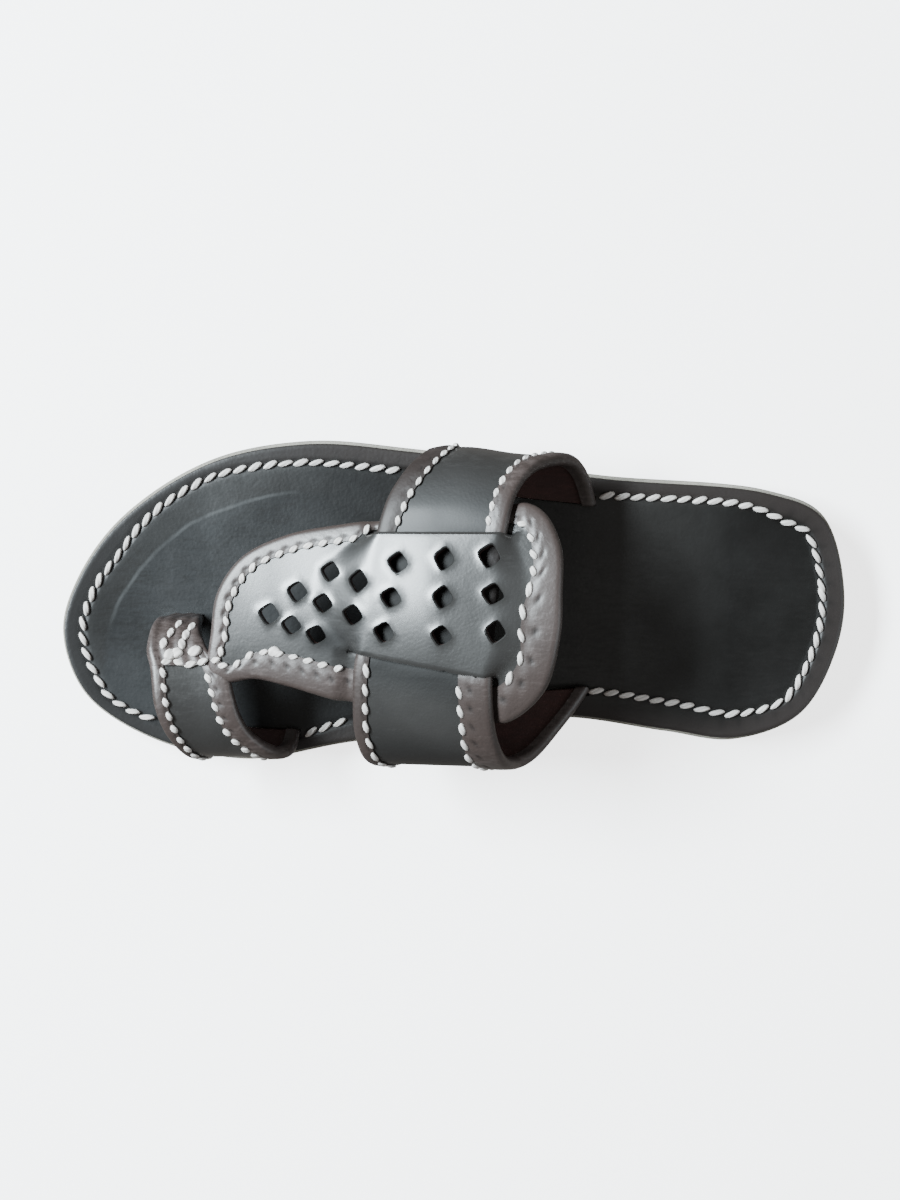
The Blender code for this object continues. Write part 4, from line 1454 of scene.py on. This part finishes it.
class SANDAL_OT_tab(bpy.types.Operator):
    """Wrap the soft tab that stands between the toes"""
    bl_idname = "sandal.tab"
    bl_label = "Tab"

    def execute(self, context):
        tab = cut_sheet("tab", *TAB_GRID, self.place, closed=True)
        thicken(tab, TAB_LEATHER, offset=0)
        finish_piece(tab, "Binding leather", "binding", "upper", smooth=60)
        return {"FINISHED"}

    def place(self, u, v):
        """A point of the tab, which goes round the toe loop from the middle of its inner
        face, past the toe side, the outer face and the heel side."""
        step = blend(*TAB_ENDS, u)
        width = toe_loop.width(step)
        side = (TAB_TOP - TAB_UNDER) / 2
        run = width - 2 * side
        round_run = pi * side
        travel = min(v, 1 - v) * 2 * (run + round_run)
        if travel < run / 2:
            distance, level = side + run / 2 - travel, TAB_UNDER
        elif travel < run / 2 + round_run:
            angle = (travel - run / 2) / side
            distance = side * (1 - sin(angle))
            level = (TAB_TOP + TAB_UNDER) / 2 - side * cos(angle)
        else:
            distance, level = side + travel - run / 2 - round_run, TAB_TOP
        if v > 0.5:
            distance = width - distance
        level += (TAB_WRINKLE * sin(distance * 1.35 + 1.4 * sin(step * 2.2))
                  * smooth_step(level, 2, 3))
        return toe_loop.place(step, distance / width, level)


# Stitches

def make_stitch(name, length, width, height, slant, twist):
    """One stitch: a swollen grain of thread whose ends slant and dip."""
    deselect()
    bpy.ops.mesh.primitive_uv_sphere_add(segments=8, ring_count=6, radius=1,
                                         rotation=(0, radians(90), 0))
    bpy.ops.object.transform_apply(location=False, rotation=True, scale=False)
    stitch = bpy.context.object
    stitch.name = name
    for vertex in stitch.data.vertices:
        x, y, z = vertex.co
        swell = 1 + 0.18 * (1 - x * x)
        y *= swell
        dip = 0.35 * abs(x) ** 3
        vertex.co = Vector((x * length / 2 + y * slant * width, y * width / 2 + twist * x,
                            (z - dip) * height / 2)) * MM
    return stitch


def sew(name, stitch, places, jitter, seed, node, stretch=lambda point: 1.0):
    """Copies of a stitch, each at a point, along a direction and square to a surface."""
    random = Random(seed)
    copies = []
    for point, along, normal in places:
        across = normal.cross(along).normalized()
        along = across.cross(normal)
        basis = Matrix((along, across, normal)).transposed().to_4x4()
        turn = Matrix.Rotation(radians(random.uniform(-jitter, jitter)), 4, "Z")
        size = Matrix.Diagonal((random.uniform(0.93, 1.07) * stretch(point),
                                random.uniform(0.9, 1.1), 1, 1))
        copy = bpy.data.objects.new(name, stitch.data.copy())
        copy.data.transform(Matrix.Translation(point * MM) @ basis @ turn @ size)
        bpy.context.scene.collection.objects.link(copy)
        copies.append(copy)
    deselect()
    for copy in copies:
        copy.select_set(True)
    bpy.context.view_layer.objects.active = copies[0]
    bpy.ops.object.join()
    row = bpy.context.object
    row.name = name
    row.data.name = name
    bpy.data.objects.remove(stitch)
    finish_piece(row, "Waxed thread", "thread", node, smooth=180)


def paced(points, pitch_at):
    """Places a pitch apart along a path of (point, normal) pairs, with their directions."""
    return counted(points, running_count([point for point, _ in points], pitch_at))


def counted(points, beats):
    """Places along a path midway between two whole beats, with their directions."""
    places = []
    for (a, normal_a), (b, normal_b), low, high in zip(points, points[1:], beats, beats[1:]):
        beat = ceil(low - 0.5) + 0.5
        while beat < high:
            share = (beat - low) / (high - low)
            places.append((a.lerp(b, share), (b - a).normalized(),
                           normal_a.lerp(normal_b, share).normalized()))
            beat += 1
    return places


def in_the_open(point, hidden):
    """Whether no strap hides a stitch there."""
    spans = hidden.lateral if point.y > hidden.middle_y else hidden.medial
    return all(point.x < start or point.x > end for start, end in spans)


def drop(pieces, x, y):
    """The highest point of some pieces over a place, and the normal there."""
    start, down = Vector((x, y, ABOVE_ALL)) * MM, Vector((0, 0, -1))
    hits = [hit for hit in (piece.ray_cast(start, down) for piece in pieces) if hit[0]]
    if not hits:
        raise RuntimeError(f"nothing lies under the stitch at {x:.1f}, {y:.1f}")
    _, point, normal, _ = max(hits, key=lambda hit: hit[1].z)
    return point / MM, normal


class SANDAL_OT_insole_stitches(bpy.types.Operator):
    """Sew the insole down with thick slanted lockstitches"""
    bl_idname = "sandal.insole_stitches"
    bl_label = "Insole stitches"

    def execute(self, context):
        path = []
        for i in [*range(len(sole_rim)), 0]:
            point = sole_rim.points[i] + sole_rim.inwards(i) * seam_inset(i)
            path.append((Vector((point.x, point.y, insole_top(point.x) + INSOLE_STITCH_LEVEL)),
                         Vector((0, 0, 1))))
        places = [place for place in paced(path, lambda point: INSOLE_PITCH)
                  if in_the_open(place[0], HIDDEN_ON_INSOLE)]
        width = context.scene.sandal_sizes.seam_width / MM
        stitch = make_stitch("insole_stitch", length=5.1, width=width, height=1.8, slant=0.34,
                             twist=0.40)
        sew("insole_stitches", stitch, places, jitter=4, seed=3, node="insole")
        return {"FINISHED"}


class SANDAL_OT_upper_stitches(bpy.types.Operator):
    """Sew the bindings, the seam over the toe loop and the tab"""
    bl_idname = "sandal.upper_stitches"
    bl_label = "Upper stitches"

    def execute(self, context):
        thread = context.scene.sandal_sizes.thread_width / MM
        self.sew_leaf(thread)
        for seam in STRAP_SEAMS:
            self.sew_strap(seam, thread)
        self.sew_tab(thread)
        return {"FINISHED"}

    def sew_leaf(self, thread):
        flats, beats = leaf_seam()
        path = [(leaf_point(x, y, STITCH_LEVEL), leaf_normal(x, y)) for x, y in flats]
        places = [place for place in counted(path, beats)
                  if in_the_open(place[0], HIDDEN_ON_LEAF)]
        stitch = make_stitch("leaf_stitch", length=3.5, width=thread * 1.05, height=1.4, slant=0.2,
                             twist=0.1)
        sew("leaf_stitches", stitch, places, jitter=10, seed=21, node="upper",
            stretch=lambda point: 1 + 0.4 * long_stitched(point.x, point.y))

    def sew_strap(self, seam, thread):
        strap, heel_side = STRAPS[seam.strap], seam.side == "heel"
        path = []
        for k in range(STRAP_SEAM_PARTS + 1):
            step = blend(seam.start, seam.end, k / STRAP_SEAM_PARTS)
            inset = strap.binding(step, heel_side) - SEAM_FROM_BINDING
            share = strap.edge_share(step, heel_side, inset)
            path.append((strap.place(step, share, STITCH_LEVEL), strap.normal(step, share)))
        places = paced(path, lambda point: strap_pitch(strap, point))
        if strap is instep_strap:
            places = [place for place in places if self.beyond_slots(place[0])]
        stitch = make_stitch("strap_stitch", length=3.5, width=thread, height=1.3, slant=0.15,
                             twist=0.1)
        sew(f"{seam.strap}_stitches_{seam.side}", stitch, places, jitter=7, seed=seam.seed,
            node="upper", stretch=lambda point: strap_pitch(strap, point) / UPPER_PITCH)

    def beyond_slots(self, point):
        """Whether a stitch of the instep strap is clear of the leaf."""
        return (point.y > SLOT_LATERAL_Y + SEAM_FROM_LATERAL_SLOT
                or point.y < medial_slot_y(point.x) - SEAM_FROM_MEDIAL_SLOT)

    def sew_tab(self, thread):
        """The seam over the loop's end, the two rows down the tab and its knots."""
        pieces = [bpy.data.objects[name] for name in
                  ("tab", "toe_loop", "leaf_binding", "leaf_panel", "toe_loop_binding_toe",
                   "toe_loop_binding_heel")]
        places = []
        for row in TAB_SEAMS:
            for (ax, ay), (bx, by) in zip(row, row[1:]):
                a, normal_a = drop(pieces, ax, ay)
                b, normal_b = drop(pieces, bx, by)
                normal = (normal_a + normal_b).normalized()
                places.append(((a + b) / 2 + normal * TAB_STITCH_LEVEL, (b - a).normalized(),
                               normal))
        stitch = make_stitch("tab_stitch", length=4.4, width=thread * 1.15, height=1.4, slant=0.1,
                             twist=0.1)
        sew("tab_stitches", stitch, places, jitter=6, seed=31, node="upper")
        knots = []
        for knot in KNOTS:
            point, normal = drop(pieces, knot.x, knot.y)
            knots.append((point + normal * TAB_STITCH_LEVEL,
                          Vector((cos(knot.turn), sin(knot.turn), 0)), normal))
        stitch = make_stitch("knot", length=4.6, width=3.3, height=2.0, slant=0.05, twist=0.2)
        sew("knots", stitch, knots, jitter=20, seed=32, node="upper")


# Stage

class SANDAL_OT_stage(bpy.types.Operator):
    """Set the sandal on a pale floor under soft light, with a camera above it"""
    bl_idname = "sandal.stage"
    bl_label = "Stage"

    def execute(self, context):
        stage = context.scene.sandal_stage
        deselect()
        bpy.ops.mesh.primitive_plane_add(size=8)
        floor = context.object
        floor.name = "floor"
        floor.data.materials.append(bpy.data.materials["Pale floor"])
        floor.visible_glossy = False
        floor.visible_diffuse = False
        self.light("window_light", place=Vector((-0.98, 0.42, 0.98)), size=(0.30, 0.90),
                   power=stage.window_power)
        self.light("fill_light", place=Vector((1.0, -0.2, 0.75)), size=(0.9, 0.9),
                   power=stage.fill_power)
        world = bpy.data.worlds.new("Studio")
        world.use_nodes = True
        background = world.node_tree.nodes["Background"]
        background.inputs["Color"].default_value = (1.0, 0.95, 0.90, 1.0)
        background.inputs["Strength"].default_value = stage.sky
        context.scene.world = world
        self.camera(context, stage)
        return {"FINISHED"}

    def aimed(self, place, target):
        """A placing that looks at a target, with the image's upright along +Y."""
        forward = (target - place).normalized()
        right = forward.cross(Vector((0, 1, 0))).normalized()
        up = right.cross(forward)
        return Matrix.Translation(place) @ Matrix((right, up, -forward)).transposed().to_4x4()

    def light(self, name, place, size, power):
        bpy.ops.object.light_add(type="AREA")
        lamp = bpy.context.object
        lamp.name = name
        lamp.data.shape = "RECTANGLE"
        lamp.data.size, lamp.data.size_y = size
        lamp.data.energy = power
        lamp.data.color = (0.84, 0.945, 1.0)
        lamp.matrix_world = self.aimed(place, Vector((0, 0, 0.04)))

    def camera(self, context, stage):
        bpy.ops.object.camera_add()
        camera = context.object
        camera.name = "overhead_camera"
        place = Vector((-0.005, 0.050, stage.camera_height))
        camera.matrix_world = self.aimed(place, Vector((-0.0015, 0.0005, 0.010)))
        camera.data.sensor_fit = "HORIZONTAL"
        camera.data.sensor_width = 36.0
        camera.data.lens = 75.2
        camera.data.clip_start = 0.01
        context.scene.camera = camera


class SANDAL_PT_workshop(bpy.types.Panel):
    """Lists the sandal's pieces in the order they are made"""
    bl_idname = "SANDAL_PT_workshop"
    bl_label = "Leather Sandal"
    bl_space_type = "VIEW_3D"
    bl_region_type = "UI"
    bl_category = "Sandal"

    def draw(self, context):
        column = self.layout.column()
        for step in MAKING_ORDER:
            column.operator(step.bl_idname)
        for group in (context.scene.sandal_sizes, context.scene.sandal_colours,
                      context.scene.sandal_stage):
            for name in group.bl_rna.properties.keys():
                if name not in ("rna_type", "name"):
                    column.prop(group, name)


MAKING_ORDER = (SANDAL_OT_finishes, SANDAL_OT_outsole, SANDAL_OT_insole, SANDAL_OT_leaf,
                SANDAL_OT_straps, SANDAL_OT_bindings, SANDAL_OT_tab, SANDAL_OT_insole_stitches,
                SANDAL_OT_upper_stitches, SANDAL_OT_stage)
GROUPS = {"sandal_sizes": SandalSizes, "sandal_colours": SandalColours,
          "sandal_stage": SandalStage}


def register():
    for group in GROUPS.values():
        bpy.utils.register_class(group)
    for name, group in GROUPS.items():
        setattr(bpy.types.Scene, name, bpy.props.PointerProperty(type=group))
    for operator in MAKING_ORDER:
        bpy.utils.register_class(operator)
    bpy.utils.register_class(SANDAL_PT_workshop)


def unregister():
    bpy.utils.unregister_class(SANDAL_PT_workshop)
    for operator in reversed(MAKING_ORDER):
        bpy.utils.unregister_class(operator)
    for name in GROUPS:
        delattr(bpy.types.Scene, name)
    for group in reversed(GROUPS.values()):
        bpy.utils.unregister_class(group)


def main():
    register()
    bpy.ops.sandal.finishes()
    bpy.ops.sandal.outsole()
    bpy.ops.sandal.insole()
    bpy.ops.sandal.leaf()
    bpy.ops.sandal.straps()
    bpy.ops.sandal.bindings()
    bpy.ops.sandal.tab()
    bpy.ops.sandal.insole_stitches()
    bpy.ops.sandal.upper_stitches()
    bpy.ops.sandal.stage()


if __name__ == "__main__":
    main()
